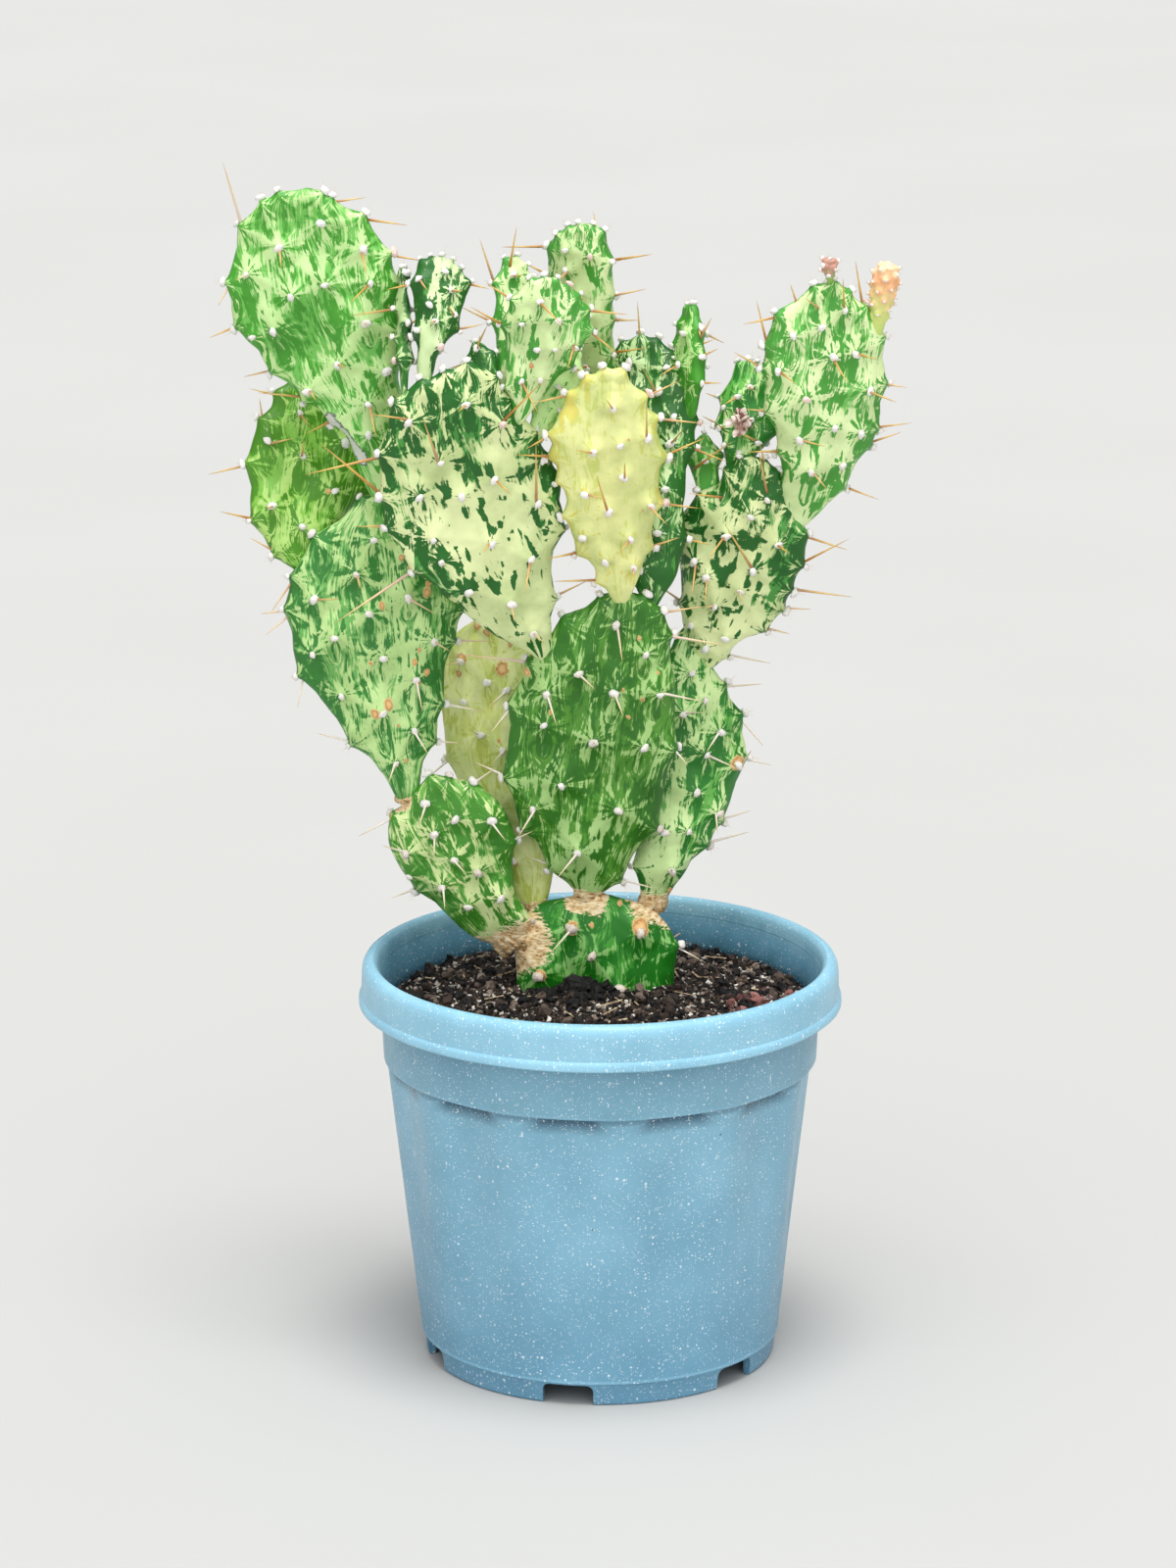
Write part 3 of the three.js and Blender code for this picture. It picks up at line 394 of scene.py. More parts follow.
def soil_level(x, y):
    """Height of the soil's top over the pot's foot at a place round the pot's axis."""
    level = SOIL_EDGE + SOIL_MOUND * (1 - (np.hypot(x, y) / SOIL_RADIUS) ** 2)
    for middle_x, middle_y, wide, deep, high in SOIL_BUMPS:
        level = level + high * np.exp(-(((x - middle_x) / wide) ** 2 + ((y - middle_y) / deep) ** 2))
    return level


def soil_finish():
    finish, tree, surface, where = new_finish("potting soil", 0.95, 0.25)
    crumb = grain(tree, where, 420, 6, 0.7)
    dark = ramp(tree, crumb, [
        (0.36, (6, 6, 7)), (0.5, (30, 26, 24)), (0.58, (78, 64, 56)),
        (0.66, (122, 106, 94)), (0.76, (176, 164, 152)),
    ])
    cells = knot(tree, "ShaderNodeTexVoronoi", {"Vector": where, "Scale": 800.0})
    shade = knot(tree, "ShaderNodeSeparateColor", {0: cells.outputs["Color"]})
    grit = maths(tree, "GREATER_THAN", shade.outputs[0], 0.92)
    dress(tree, surface, blended(tree, grit, dark, tint(186, 178, 168)), crumb, 0.8, 0.002)
    return finish


start_fresh()
bpy.ops.mesh.primitive_uv_sphere_add(segments=200, ring_count=150, radius=1)
soil = bpy.context.object
soil.name = "soil_bed"
ball = read_points(soil.data)
fall = np.arccos(np.clip(ball[:, 2], -1, 1)) / math.pi
turn = np.arctan2(ball[:, 1], ball[:, 0])
# Down the ball, as shares of the way: where the soil's top ends, and where its side ends.
TOP_ENDS = 0.8
SIDE_ENDS = 0.94
top = fall < TOP_ENDS
away = np.where(top, SOIL_RADIUS * np.clip(fall / TOP_ENDS, 0, 1) ** 0.75, 0)
side = np.clip((fall - TOP_ENDS) / (SIDE_ENDS - TOP_ENDS), 0, 1)
under = np.clip((fall - SIDE_ENDS) / (1 - SIDE_ENDS), 0, 1)
x, y = away * np.cos(turn), away * np.sin(turn)
rough = layered(np.stack([x / 5, y / 5, x * 0], 1), 11) * 1.1
rough += layered(np.stack([x / 1.6, y / 1.6, x * 0], 1), 17) * 0.8
rough *= np.clip((SOIL_RADIUS - away) / 1.5, 0, 1)
level = soil_level(x, y) + rough
drop = side * (SOIL_EDGE - SOIL_FOOT)
past_collar = drop - (SOIL_EDGE - COLLAR_FOOT)
wall = np.where(
    past_collar > 0, BODY_INSIDE - past_collar * BODY_TAPER, COLLAR_INSIDE - drop * COLLAR_TAPER
)
low = (1 - side) * SOIL_EDGE + side * SOIL_FOOT
away = np.where(top, away, (wall - WALL_GAP) * (1 - under))
flat = np.stack([away * np.cos(turn), away * np.sin(turn), np.where(top, level, low)], 1)
flutes = FLUTES_INSIDE * (~top) * np.clip(low / BODY_TOP, 0, 1) * (low < COLLAR_FOOT - 0.5)
flat = fluted(flat, flutes)
write_points(soil.data, flat * mm + np.array(pot_axis))
bpy.ops.object.shade_smooth()
soil.data.materials.append(soil_finish())
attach(soil, "root")
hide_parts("soil")


def attribute(tree, name, output="Fac"):
    return knot(tree, "ShaderNodeAttribute", attribute_name=name).outputs[output]


def crumb_finish():
    finish, tree, surface, where = new_finish("soil crumbs", 0.85, 0.35)
    mottle = grain(tree, where, 1500, 3, 0.6)
    colour = ramp(tree, shifted(tree, attribute(tree, "tone"), mottle, 0.08), [
        (0.0, (6, 6, 8)), (0.3, (26, 23, 22)), (0.48, (62, 48, 40)),
        (0.66, (128, 112, 100)), (0.72, (186, 176, 164)), (0.8, (232, 226, 218)),
        (0.84, (70, 40, 38)), (0.92, (118, 72, 68)), (1.0, (176, 122, 114)),
    ])
    rough = ramp(tree, mottle, [(0.35, 0.55), (0.65, 0.95)])
    dress(tree, surface, colour, mottle, 0.5, 0.0006, rough)
    return finish


def shape_of(thing):
    """A small shape's points and triangles; the object it was modelled as is removed."""
    mesh = thing.data
    mesh.calc_loop_triangles()
    corners = np.array([triangle.vertices[:] for triangle in mesh.loop_triangles])
    points = read_points(mesh)
    bpy.data.objects.remove(thing)
    return points, corners


def turned_to(line, spin, size):
    """A turn that takes +Z to a line, spun about it, times the three sizes."""
    axis = Vector(line).normalized()
    side = axis.orthogonal().normalized()
    other = axis.cross(side)
    c, s = math.cos(spin), math.sin(spin)
    return np.array([side * c + other * s, other * c - side * s, axis]).T * np.array(size)


def note(mesh, **fields):
    """Keeps a number or a place at each point of a mesh, for its finish to read."""
    for label, values in fields.items():
        kind, key = ("FLOAT_VECTOR", "vector") if np.ndim(values) == 2 else ("FLOAT", "value")
        mesh.attributes.new(label, kind, "POINT").data.foreach_set(key, np.ravel(values))


def piece_from(name, points, corners, finish):
    """An object made of lists of points and of the triangles between them."""
    mesh = bpy.data.meshes.new(name)
    mesh.from_pydata(np.concatenate(points).tolist(), [], np.concatenate(corners).tolist())
    mesh.materials.append(finish)
    piece = bpy.data.objects.new(name, mesh)
    bpy.context.scene.collection.objects.link(piece)
    return piece


def strewn(name, kinds, finish):
    """One piece of many copies; kinds are (shape, places, tones), a place being (turn, point)."""
    points, corners, tones, lengths, count = [], [], [], [], 0
    for (shape_points, triangles), places, values in kinds:
        turns = np.array([turn for turn, spot in places])
        spots = np.array([spot for turn, spot in places])
        spread = np.einsum("kij,nj->kni", turns, shape_points) + spots[:, None]
        start = count + np.arange(len(places)) * len(shape_points)
        points.append(spread.reshape(-1, 3))
        corners.append((triangles[None] + start[:, None, None]).reshape(-1, 3))
        tones.append(np.repeat(np.array(values), len(shape_points)))
        lengths.append(np.tile(shape_points[:, 2], len(places)))
        count += len(places) * len(shape_points)
    piece = piece_from(name, points, corners, finish)
    note(piece.data, tone=np.concatenate(tones), length=np.concatenate(lengths))
    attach(piece, "root")
    return piece


def smoothed(piece, degrees=None):
    start_fresh()
    bpy.context.view_layer.objects.active = piece
    piece.select_set(True)
    if degrees is None:
        bpy.ops.object.shade_smooth()
    else:
        bpy.ops.object.shade_smooth_by_angle(angle=math.radians(degrees))


def lump_shape(detail, jag, seed):
    """A rough stone or crumb, a unit across, from a ball pushed in and out."""
    start_fresh()
    bpy.ops.mesh.primitive_ico_sphere_add(subdivisions=detail, radius=1)
    lump = bpy.context.object
    points = read_points(lump.data)
    push = 1 + jag * layered(points * 1.7, seed, 2)
    write_points(lump.data, points * push[:, None] * np.array((1, 0.85, 0.75)))
    return shape_of(lump)


crumb_shapes = [lump_shape(1, 0.55, 31), lump_shape(1, 0.7, 37), lump_shape(2, 0.6, 43)]
crumb_places = [[], [], []]
crumb_tones = [[], [], []]
CRUMBS = 4600
CRUMBS_REACH = 75
LARGE_CRUMB = 1.4
DARK_SHARE = 0.72
GRIT_SHARE = 0.1
# Middle x and y of the reddish lumps.
RED_LUMPS = (62, -14)
RED_LUMPS_REACH = 17
RED_SHARE = 0.16
STEM_CRUMBS = 60
STRAWS = 90
STRAWS_REACH = 70


def lay_crumb(x, y, size, tone, lift):
    kind = 2 if size > LARGE_CRUMB else len(crumb_places[0]) % 2
    line = (chance.uniform(-1, 1), chance.uniform(-1, 1), chance.uniform(-1, 1))
    sizes = [size * mm * chance.uniform(0.7, 1.2) for _ in range(3)]
    place = pot_axis + Vector((x, y, float(soil_level(x, y)) + lift)) * mm
    crumb_places[kind].append((turned_to(line, chance.uniform(0, 6.3), sizes), place))
    crumb_tones[kind].append(tone)


for k in range(CRUMBS):
    away = CRUMBS_REACH * math.sqrt(chance.random())
    way = chance.uniform(0, 2 * math.pi)
    x, y = away * math.sin(way), -away * math.cos(way)
    size = chance.uniform(0.35, 1.2) if chance.random() < 0.9 else chance.uniform(1.3, 2.6)
    draw = chance.random()
    tone = chance.uniform(0.02, 0.5) if draw < DARK_SHARE else chance.uniform(0.5, 0.68)
    if draw > 1 - GRIT_SHARE:
        size, tone = min(size, 1.1), chance.uniform(0.69, 0.8)
    if math.dist((x, y), RED_LUMPS) < RED_LUMPS_REACH and chance.random() < RED_SHARE:
        size, tone = chance.uniform(1, 2.8), chance.uniform(0.82, 0.98)
    if away + size < COLLAR_INSIDE:
        lay_crumb(x, y, size, tone, 0.35 * size)
for k in range(STEM_CRUMBS):
    x, y = chance.gauss(-6, 7), chance.gauss(-7, 3)
    lay_crumb(x, y, chance.uniform(1.2, 3), chance.uniform(0, 0.3), 0.5)
strewn("soil_crumbs", list(zip(crumb_shapes, crumb_places, crumb_tones)), crumb_finish())


def mottled_finish(name, roughness, specular, mottling, stops, strength, distance, tone=None,
                   shift=0.0, sheen=0.0):
    """A dull finish in the colours of a ramp, read at a fine mottle or at a tone that it shifts."""
    finish, tree, surface, where = new_finish(name, roughness, specular, sheen=sheen)
    mottle = grain(tree, where, *mottling)
    place = shifted(tree, attribute(tree, tone), mottle, shift) if tone else mottle
    dress(tree, surface, ramp(tree, place, stops), mottle, strength, distance)
    return finish


start_fresh()
bpy.ops.mesh.primitive_cylinder_add(vertices=5, radius=1, depth=1, location=(0, 0, 0.5))
bpy.ops.object.transform_apply(location=True)
straw_shape = shape_of(bpy.context.object)
straw_places = []
for k in range(STRAWS):
    away, way = STRAWS_REACH * math.sqrt(chance.random()), chance.uniform(0, 2 * math.pi)
    x, y = away * math.sin(way), -away * math.cos(way)
    under_stem = math.hypot(x / 30, (y - 9) / 11) < 1
    if under_stem:
        continue
    line = (chance.gauss(0, 1), chance.gauss(0, 1), chance.gauss(0.1, 0.25))
    sizes = [chance.uniform(0.12, 0.3) * mm, chance.uniform(0.1, 0.2) * mm, chance.uniform(3, 9) * mm]
    place = pot_axis + Vector((x, y, float(soil_level(x, y)) + 1.1)) * mm
    straw_places.append((turned_to(line, 0, sizes), place))
straw_skin = mottled_finish("dry straw", 0.8, 0.3, (600, 3), [
    (0.3, (120, 92, 66)), (0.55, (206, 182, 146)), (0.75, (238, 226, 202)),
], 0.3, 0.0004)
strewn("straw", [(straw_shape, straw_places, [0.5] * len(straw_places))], straw_skin)


# Base pad, and how every pad is made
# Flat oval joints of living flesh under a waxy skin, each grown from the rim of the one below.
# Areoles stand on low tubercles with flat facets between them, and the margin is scalloped.
JOINT_SINK = 3
PAD_FACET = 0.86
SPREAD_OF_RAYS = 14
WOOL_PAST_JOINT = 4
KNOB_RISE = 0.7
KNOB_WIDTH = 2.6
RIPPLE = 0.35
SCAB_RISE = 0.3
SCAR_RISE = 0.25
SMOOTH_FOOT = 5
pads = {}
wool_spots = []
collars = []


def half_width(pad, v, side):
    """Half-width in mm at distances along a pad, by a smooth curve through its seven values."""
    widths = np.where(side[:, None] < 0, np.array(pad["left"])[None], np.array(pad["right"])[None])
    share = np.clip(v / pad["length"], 0, 1)
    spans = widths.shape[1] + 1
    place = np.arccos(1 - 2 * share) / math.pi * spans
    k = np.clip(np.floor(place).astype(int), 0, spans - 1)
    t = place - k
    edge = np.zeros((len(v), 1))
    row = np.hstack([-widths[:, :1], edge, widths, edge, -widths[:, -1:]])
    a, b, c, d = (np.take_along_axis(row, (k + j)[:, None], 1)[:, 0] for j in range(4))
    return b + 0.5 * t * (c - a + t * (2 * a - 5 * b + 4 * c - d + t * (3 * (b - c) + d - a)))


def half_thickness(pad, v, share):
    """Half-thickness in mm where share is how far across to the margin, 0 to 1."""
    along = np.clip(v / pad["length"], 0, 1)
    crown = np.sin(math.pi * along) ** 0.4
    return pad["thick"] / 2 * crown * np.sqrt(np.clip(1 - np.abs(share) ** 3, 0, 1))


def to_world(pad, places):
    """Places (along, across, out) of a pad, in mm, as points of the scene in metres."""
    axes = np.array([pad["along"], pad["across"], pad["out"]])
    return (np.array(pad["start"]) + places @ axes) * mm + np.array(pot_axis)


def read_normals(mesh):
    return np.array([tuple(normal.vector) for normal in mesh.vertex_normals])


def crusted_over(tree, skin, edge, cover, crust):
    """Skin with a crust wherever the edge value has passed the cover ramp, and where that is."""
    where_crusted = ramp(tree, edge, cover)
    return blended(tree, where_crusted, skin, crust), where_crusted


def skin_finish(name, deep, fresh, pale, wash=0.5, fineness=1.0):
    """Waxy skin: deep and fresh green over pale flesh, in streaks that run along the flow and fan
    out from the areoles, with corky joints, tan scabs and grey scars on top."""
    deep, fresh, pale = (tint(*colour) for colour in (deep, fresh, pale))
    finish, tree, surface, where = new_finish(name, 0.45, 0.4, coat=0.05)
    surface.inputs["Coat Roughness"].default_value = 0.25
    lie = attribute(tree, "lie", "Vector")
    rays = grain(tree, attribute(tree, "fan", "Vector"), 2.4, 3, 0.6)
    rays = maths(tree, "MULTIPLY", maths(tree, "SUBTRACT", rays, 0.5), attribute(tree, "near"))

    def streaks(scale, stretch):
        drawn = stretched(tree, lie, (stretch, 1, 1))
        return maths(tree, "SUBTRACT", grain(tree, drawn, scale, 2, 0.55), 0.5)

    def summed(value, *shares):
        for noise, share in shares:
            value = maths(tree, "MULTIPLY_ADD", noise, share, value)
        return maths(tree, "MULTIPLY_ADD", value, 0.5, 0.5)

    broad, fine, other = streaks(480, 0.16), streaks(1150, 0.14), streaks(700, 0.18)
    island = maths(tree, "SUBTRACT", grain(tree, lie, 560, 2, 0.5), 0.5)
    level = summed(
        attribute(tree, "green"), (broad, 1.3), (fine, 2.4 * fineness), (island, 0.5), (rays, 4.6)
    )
    thin = [a + (b - a) * wash for a, b in zip(pale, fresh)]
    skin = ramp(tree, level, [(0.4, pale), (0.45, thin), (0.51, thin), (0.55, fresh), (0.9, fresh)])
    dark = summed(
        attribute(tree, "deep"), (other, 1.3), (fine, 1.8 * fineness), (island, 0.7), (rays, 5.0)
    )
    skin = blended(tree, ramp(tree, dark, [(0.47, 0.0), (0.55, 1.0)]), skin, deep)
    cloud = grain(tree, where, 45, 4, 0.6)
    lighter = ramp(tree, cloud, [(0.34, (206, 216, 198)), (0.62, (255, 255, 255))])
    skin = blended(tree, 1.0, skin, lighter, "MULTIPLY")

    crust = grain(tree, stretched(tree, where, (0.7, 0.7, 2)), 620, 5, 0.62)
    bark = ramp(tree, crust, [
        (0.34, (132, 92, 54)), (0.43, (204, 166, 114)), (0.54, (234, 212, 166)),
        (0.7, (250, 240, 214)),
    ])
    edge = shifted(tree, attribute(tree, "cork"), crust, 1.2)
    skin, corked = crusted_over(tree, skin, edge, [(0.42, 0.0), (0.5, 1.0)], bark)
    scab = attribute(tree, "scab")
    ring = ramp(tree, scab, [
        (0.0, (206, 190, 130)), (0.42, (220, 188, 130)), (0.56, (184, 128, 72)),
        (0.7, (216, 170, 112)), (1.0, (228, 192, 136)),
    ])
    edge = shifted(tree, scab, crust, 0.5)
    skin, scabbed = crusted_over(tree, skin, edge, [(0.22, 0.0), (0.36, 1.0)], ring)
    edge = shifted(tree, attribute(tree, "scar"), crust, 0.9)
    ash = ramp(tree, edge, [
        (0.42, (64, 78, 70)), (0.58, (120, 130, 122)), (0.7, (214, 218, 208)),
    ])
    skin, scarred = crusted_over(tree, skin, edge, [(0.42, 0.0), (0.5, 1.0)], ash)

    dry = maths(tree, "MAXIMUM", scabbed, maths(tree, "MAXIMUM", corked, scarred))
    gloss = ramp(tree, cloud, [(0.3, 0.4), (0.7, 0.54)])
    swell = maths(tree, "MULTIPLY_ADD", broad, 0.5, grain(tree, where, 300, 3))
    swell = maths(tree, "MULTIPLY_ADD", maths(tree, "MULTIPLY", crust, dry), 2.0, swell)
    rough = maths(tree, "MULTIPLY_ADD", dry, 0.45, gloss, clamp=True)
    dress(tree, surface, skin, swell, 0.25, 0.0006, rough)
    return finish


def flow_round(v, u, heads, scale, seed):
    """Streaks run down a pad and part round a leaf under each areole, as a stream does. Gives the
    number of the stream line at each point, in mm, and how deep in a leaf it is (below 0, outside)."""
    draw = np.random.default_rng(seed)
    line = np.zeros(len(v))
    leaf = np.full(len(v), -9.0)
    for head_v, head_u in heads:
        strength, length = draw.uniform(0.8, 1.7) * scale, draw.uniform(8, 15) * scale
        x, y = u - head_u, head_v - v
        swing = np.arctan2(x, y) - np.arctan2(x, y - length)
        line += strength * swing
        inside = -np.where(x < 0, -1, 1) * (x + strength * swing) / strength
        leaf = np.maximum(leaf, inside - draw.uniform(0, 1.5))
    return line, leaf


def rays_from(v, u, heads, spread):
    """The way out from the nearest areole, numbered, and how strongly streaks fan out there."""
    gaps = np.hypot(v[:, None] - np.array(heads)[:, 0], u[:, None] - np.array(heads)[:, 1])
    near = gaps.argmin(1)
    nearest, second = np.sort(gaps, 1)[:, :2].T
    head = np.array(heads)[near]
    step = np.stack([v - head[:, 0], u - head[:, 1]], 1) / np.maximum(nearest, 0.2)[:, None]
    fan = np.stack([step[:, 0] + near * 3.7, step[:, 1], nearest * 0.03], 1)
    return fan, np.exp(-(nearest / spread) ** 2) * np.clip((second - nearest) / 2.5, 0, 1)


def ridges_between(v, u, heads, reach):
    """Nearness, 0 to 1, to the low ridges that join neighbouring areoles."""
    near = np.zeros(len(v))
    for k, (av, au) in enumerate(heads):
        for bv, bu in heads[k + 1:]:
            span = math.hypot(bv - av, bu - au)
            middle_v, middle_u = (av + bv) / 2, (au + bu) / 2
            inside = sum(math.hypot(cv - middle_v, cu - middle_u) < span / 2 - 0.1 for cv, cu in heads)
            if span > reach * 2.4 or span < 2 or inside:
                continue
            share = ((v - av) * (bv - av) + (u - au) * (bu - au)) / span ** 2
            share = np.clip(share, 0, 1)
            gap = np.hypot(v - av - share * (bv - av), u - au - share * (bu - au))
            near = np.maximum(near, np.exp(-(gap / 1.7) ** 2) * (0.5 + 0.5 * abs(bv - av) / span))
    return near


def variegation(pad, places, heads, cover, shade, core, veins, scale, seed):
    """How green and how deeply green the skin is, 0 at an edge, and the stream line. Each core is
    a pale band: its strength, how far to the right, its half-width, and where it starts and ends."""
    v, u, n = places.T
    face = np.where(n < 0, 30.0, 0.0)
    width = np.maximum(half_width(pad, v, u), 0.5)
    line, leaf = flow_round(v, u, heads, scale, seed)
    widest = np.where(u < 0, max(pad["left"]), max(pad["right"]))
    line = line + 0.5 * (u + u / width * widest)

    def clouds(across, along, layer, number):
        return layered(np.stack([across, along, face + layer], 1), seed + number, 2)

    coarse = clouds(line * 0.4, v * 0.06, 0, 0)
    second = clouds(line * 0.55, v * 0.08, 9, 3)
    land = clouds(u / 10, v / 17, n * 0.02, 9)
    island = clouds(line / 3.2, v / 7, 4, 15)
    wobble = 5 * scale * clouds(v / 8, u / 8, 0, 12)
    pale = np.zeros(len(v))
    for strength, middle, half, low, high in core:
        inside = np.exp(-((u - middle + wobble) / half) ** 4)
        fade = 1 / (1 + np.exp(-(v - low + wobble) / 3)) / (1 + np.exp((v - high + 2 * wobble) / 4))
        pale = np.maximum(pale, strength * inside * fade)
    leaf = np.clip(leaf, -0.4, 1.2)
    ridge = veins * ridges_between(v, u, heads, 9 * scale)
    specks = np.clip(island - 0.3, 0, 0.5) * np.clip(pale, 0, 1)
    rim = np.clip(np.abs(u) / width - 0.72, 0, 1) / 0.28
    green = cover + 0.35 * land + 0.45 * coarse + 0.25 * leaf - ridge - pale + 3.2 * specks
    deep = shade + 0.35 * land + 0.4 * second + 0.3 * leaf - 0.6 * (ridge + pale) + 3.4 * specks
    return green + 0.35 * rim, deep + 0.35 * rim, line


def place_pad(name, on, joint, tip, turn, thick, left, right):
    """Sets a pad's frame: from its joint, a place on the pad below, to its tip, turned about that."""
    pad = {"on": on, "thick": thick, "left": left, "right": right}
    if on:
        below = pads[on]
        axes = np.array([below["along"], below["across"], below["out"]])
        place = np.array((joint[0] + below["sink"], joint[1], joint[2]))
        root = Vector(np.array(below["start"]) + place @ axes)
    else:
        root = Vector(joint)
    along = (Vector(tip) - root).normalized()
    across = along.cross(Vector((0, -1, 0))).normalized()
    level = across.cross(along)
    c, s = math.cos(math.radians(turn)), math.sin(math.radians(turn))
    across = (across * c + level * s).normalized()
    sink = JOINT_SINK if on else 0
    pad.update(along=along, across=across, out=across.cross(along), sink=sink, root=root)
    pad.update(start=root - along * sink, length=(Vector(tip) - root).length + sink)
    pads[name] = pad
    return pad


def areole_places(pad, areoles, edges, crown):
    """Where the areoles sit: on both faces, along each margin and round the crown."""
    sink, length, spots = pad["sink"], pad["length"], []
    for av, au in areoles:
        at = np.array([float(av + sink)])
        rim = half_width(pad, at, np.array([float(au)]))[0]
        rise = half_thickness(pad, at, np.array([min(abs(au) / max(rim, 0.1), 1)]))[0]
        spots += [(at[0], au, -rise), (at[0], au, rise)]
    for side, marks in zip((-1, 1), edges):
        for mark in marks:
            at = np.array([float(mark + sink)])
            spots.append((at[0], side * half_width(pad, at, np.array([float(side)]))[0], 0))
    for au in crown:
        at = np.linspace(length * 0.75, length, 200)
        wide = np.nonzero(half_width(pad, at, np.full(200, float(au))) >= abs(au))[0]
        spots.append((at[wide[-1]] if len(wide) else length, au, 0))
    return np.array(spots, float)


def pad_ball(pad):
    """A ball with facets of one size all over the pad, and its corners as places on a plain pad."""
    start_fresh()
    around = (max(pad["left"]) + max(pad["right"])) * 2.3
    bpy.ops.mesh.primitive_uv_sphere_add(
        segments=max(32, int(around / PAD_FACET / 2) * 2),
        ring_count=max(24, int(pad["length"] / 2 * math.pi / PAD_FACET)), radius=1,
    )
    piece = bpy.context.object
    ball = read_points(piece.data)
    v = pad["length"] * (1 + ball[:, 2]) / 2
    swing = np.arctan2(np.abs(ball[:, 1]), ball[:, 0])
    swing = np.where(np.hypot(ball[:, 0], ball[:, 1]) < 1e-6, math.pi / 2, swing)
    share = 1 - 2 * swing / math.pi
    share = share * (1.35 - 0.35 * share ** 2)
    n = half_thickness(pad, v, share) * np.where(ball[:, 1] < 0, 1, -1)
    return piece, np.stack([v, share * half_width(pad, v, share), n], 1)


def marks_on(places, sink, scabs, scars):
    """How deep in a scab, and in a scar, each point of a pad's front is."""
    v, u, n = places.T
    front = n > -0.5
    ragged = 0.25 * layered(places * 1.1, 71, 2)
    crust, scar = np.zeros(len(v)), np.zeros(len(v))
    for sv, su, size in scabs:
        gap = np.hypot(v - sv - sink, (u - su) * 1.2) + size * ragged
        crust = np.maximum(crust, np.clip(1.25 - gap / size, 0, 1) * front)
    for sv, su, size in scars:
        gap = np.hypot((v - sv - sink) * 0.7, u - su) / size
        scar = np.maximum(scar, np.clip(1.3 - gap, 0, 1) * front)
    return crust, scar


def grow_pad(name, on, joint, tip, turn, thick, left, right, areoles, edges, finish, slot, cover,
             shade=0.0, core=(), scabs=(), scars=(), crown=(0,), collar=0, lift=1.9, reach=9.5,
             ridge=0.45, wool=1.5, veins=0.45, scale=1.0, seed=1):
    """Builds one pad from joint to crown, and notes where its wool and its corky collar go."""
    pad = place_pad(name, on, joint, tip, turn, thick, left, right)
    sink = pad["sink"]
    piece, places = pad_ball(pad)
    piece.name = "skin_" + name
    mesh = piece.data
    v, u, n = places.T
    spots = areole_places(pad, areoles, edges, crown)
    heads = [tuple(spot[:2]) for spot in spots if spot[2] >= 0]
    offsets = places[:, None] - spots[None]
    stretch = np.where(offsets[:, :, 0] > 0, 0.85, 1.25)
    gaps = np.sqrt((offsets[:, :, 0] * stretch) ** 2 + offsets[:, :, 1] ** 2 + offsets[:, :, 2] ** 2)
    crust, scar = marks_on(places, sink, scabs, scars)

    # The skin rises in a tubercle and a small knob at each areole, in low ridges between them, and
    # under crusts.
    rise = lift * (np.clip(1 - gaps / reach, 0, 1) ** 4).sum(1) ** 0.25 - 0.25 * lift
    rise += ridge * scale * ridges_between(v, u, heads, reach)
    rise += KNOB_RISE * np.clip(1 - gaps.min(1) / KNOB_WIDTH, 0, 1) ** 1.3
    rise += RIPPLE * layered(places / 9 + seed, 3, 2)
    rise += SCAB_RISE * np.clip(crust * 3, 0, 1) + SCAR_RISE * np.clip(scar * 2, 0, 1)
    rise *= np.clip(v / SMOOTH_FOOT, 0, 1)
    write_points(mesh, to_world(pad, places))
    normals = read_normals(mesh)
    write_points(mesh, to_world(pad, places) + normals * (rise * mm)[:, None])

    green, deep, line = variegation(pad, places, heads, cover, shade, core, veins, scale, seed)
    deep += 0.5 * np.exp(-(gaps.min(1) / 2.1) ** 2)
    fan, near = rays_from(v, u, heads, SPREAD_OF_RAYS * scale)
    lie = np.stack([v, line, np.where(n < 0, 40, 0) + 0.2 * n], 1) * mm
    cork = np.clip(1.2 - (v - sink) / collar, 0, 1) if collar else np.zeros(len(v))
    note(mesh, green=green, deep=deep, scab=crust, scar=scar, cork=cork, near=near, lie=lie, fan=fan)
    bpy.ops.object.shade_smooth()
    mesh.materials.append(finish)
    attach(piece, "root")
    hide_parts(name)
    pad["piece"] = piece
    if collar:
        collars.append((pad, collar))
    shown = read_points(mesh)
    normals = read_normals(mesh)
    for spot in spots:
        k = int(np.argmin(((places - spot) ** 2).sum(1)))
        if v[k] >= sink + WOOL_PAST_JOINT:
            size = wool * chance.uniform(0.85, 1.2) * (1 if spot[2] else 1.12)
            wool_spots.append((Vector(shown[k]), Vector(normals[k]), size))


stem_skin = skin_finish("old stem skin", (20, 122, 12), (62, 156, 38), (148, 204, 118), 0.5, 1.3)
grow_pad(
    "pad_base", None, (-2, 9, 106), (-2, 8, 165), 0, 18,
    (14, 22, 27, 28, 28, 25, 18), (14, 22, 27, 29, 28, 24, 14),
    ((49, -8), (47, 16), (32, -19), (27, 9), (39, -1)), ((42,), (40,)),
    stem_skin, "green_skin", 0.45, shade=0.2, lift=1.4, wool=2, seed=3,
    scabs=((49, 16, 3.6), (49, -8, 2.8), (32, -19, 2.6), (27, 9, 2.4), (50, -1, 1), (57, 9, 1.2)),
)


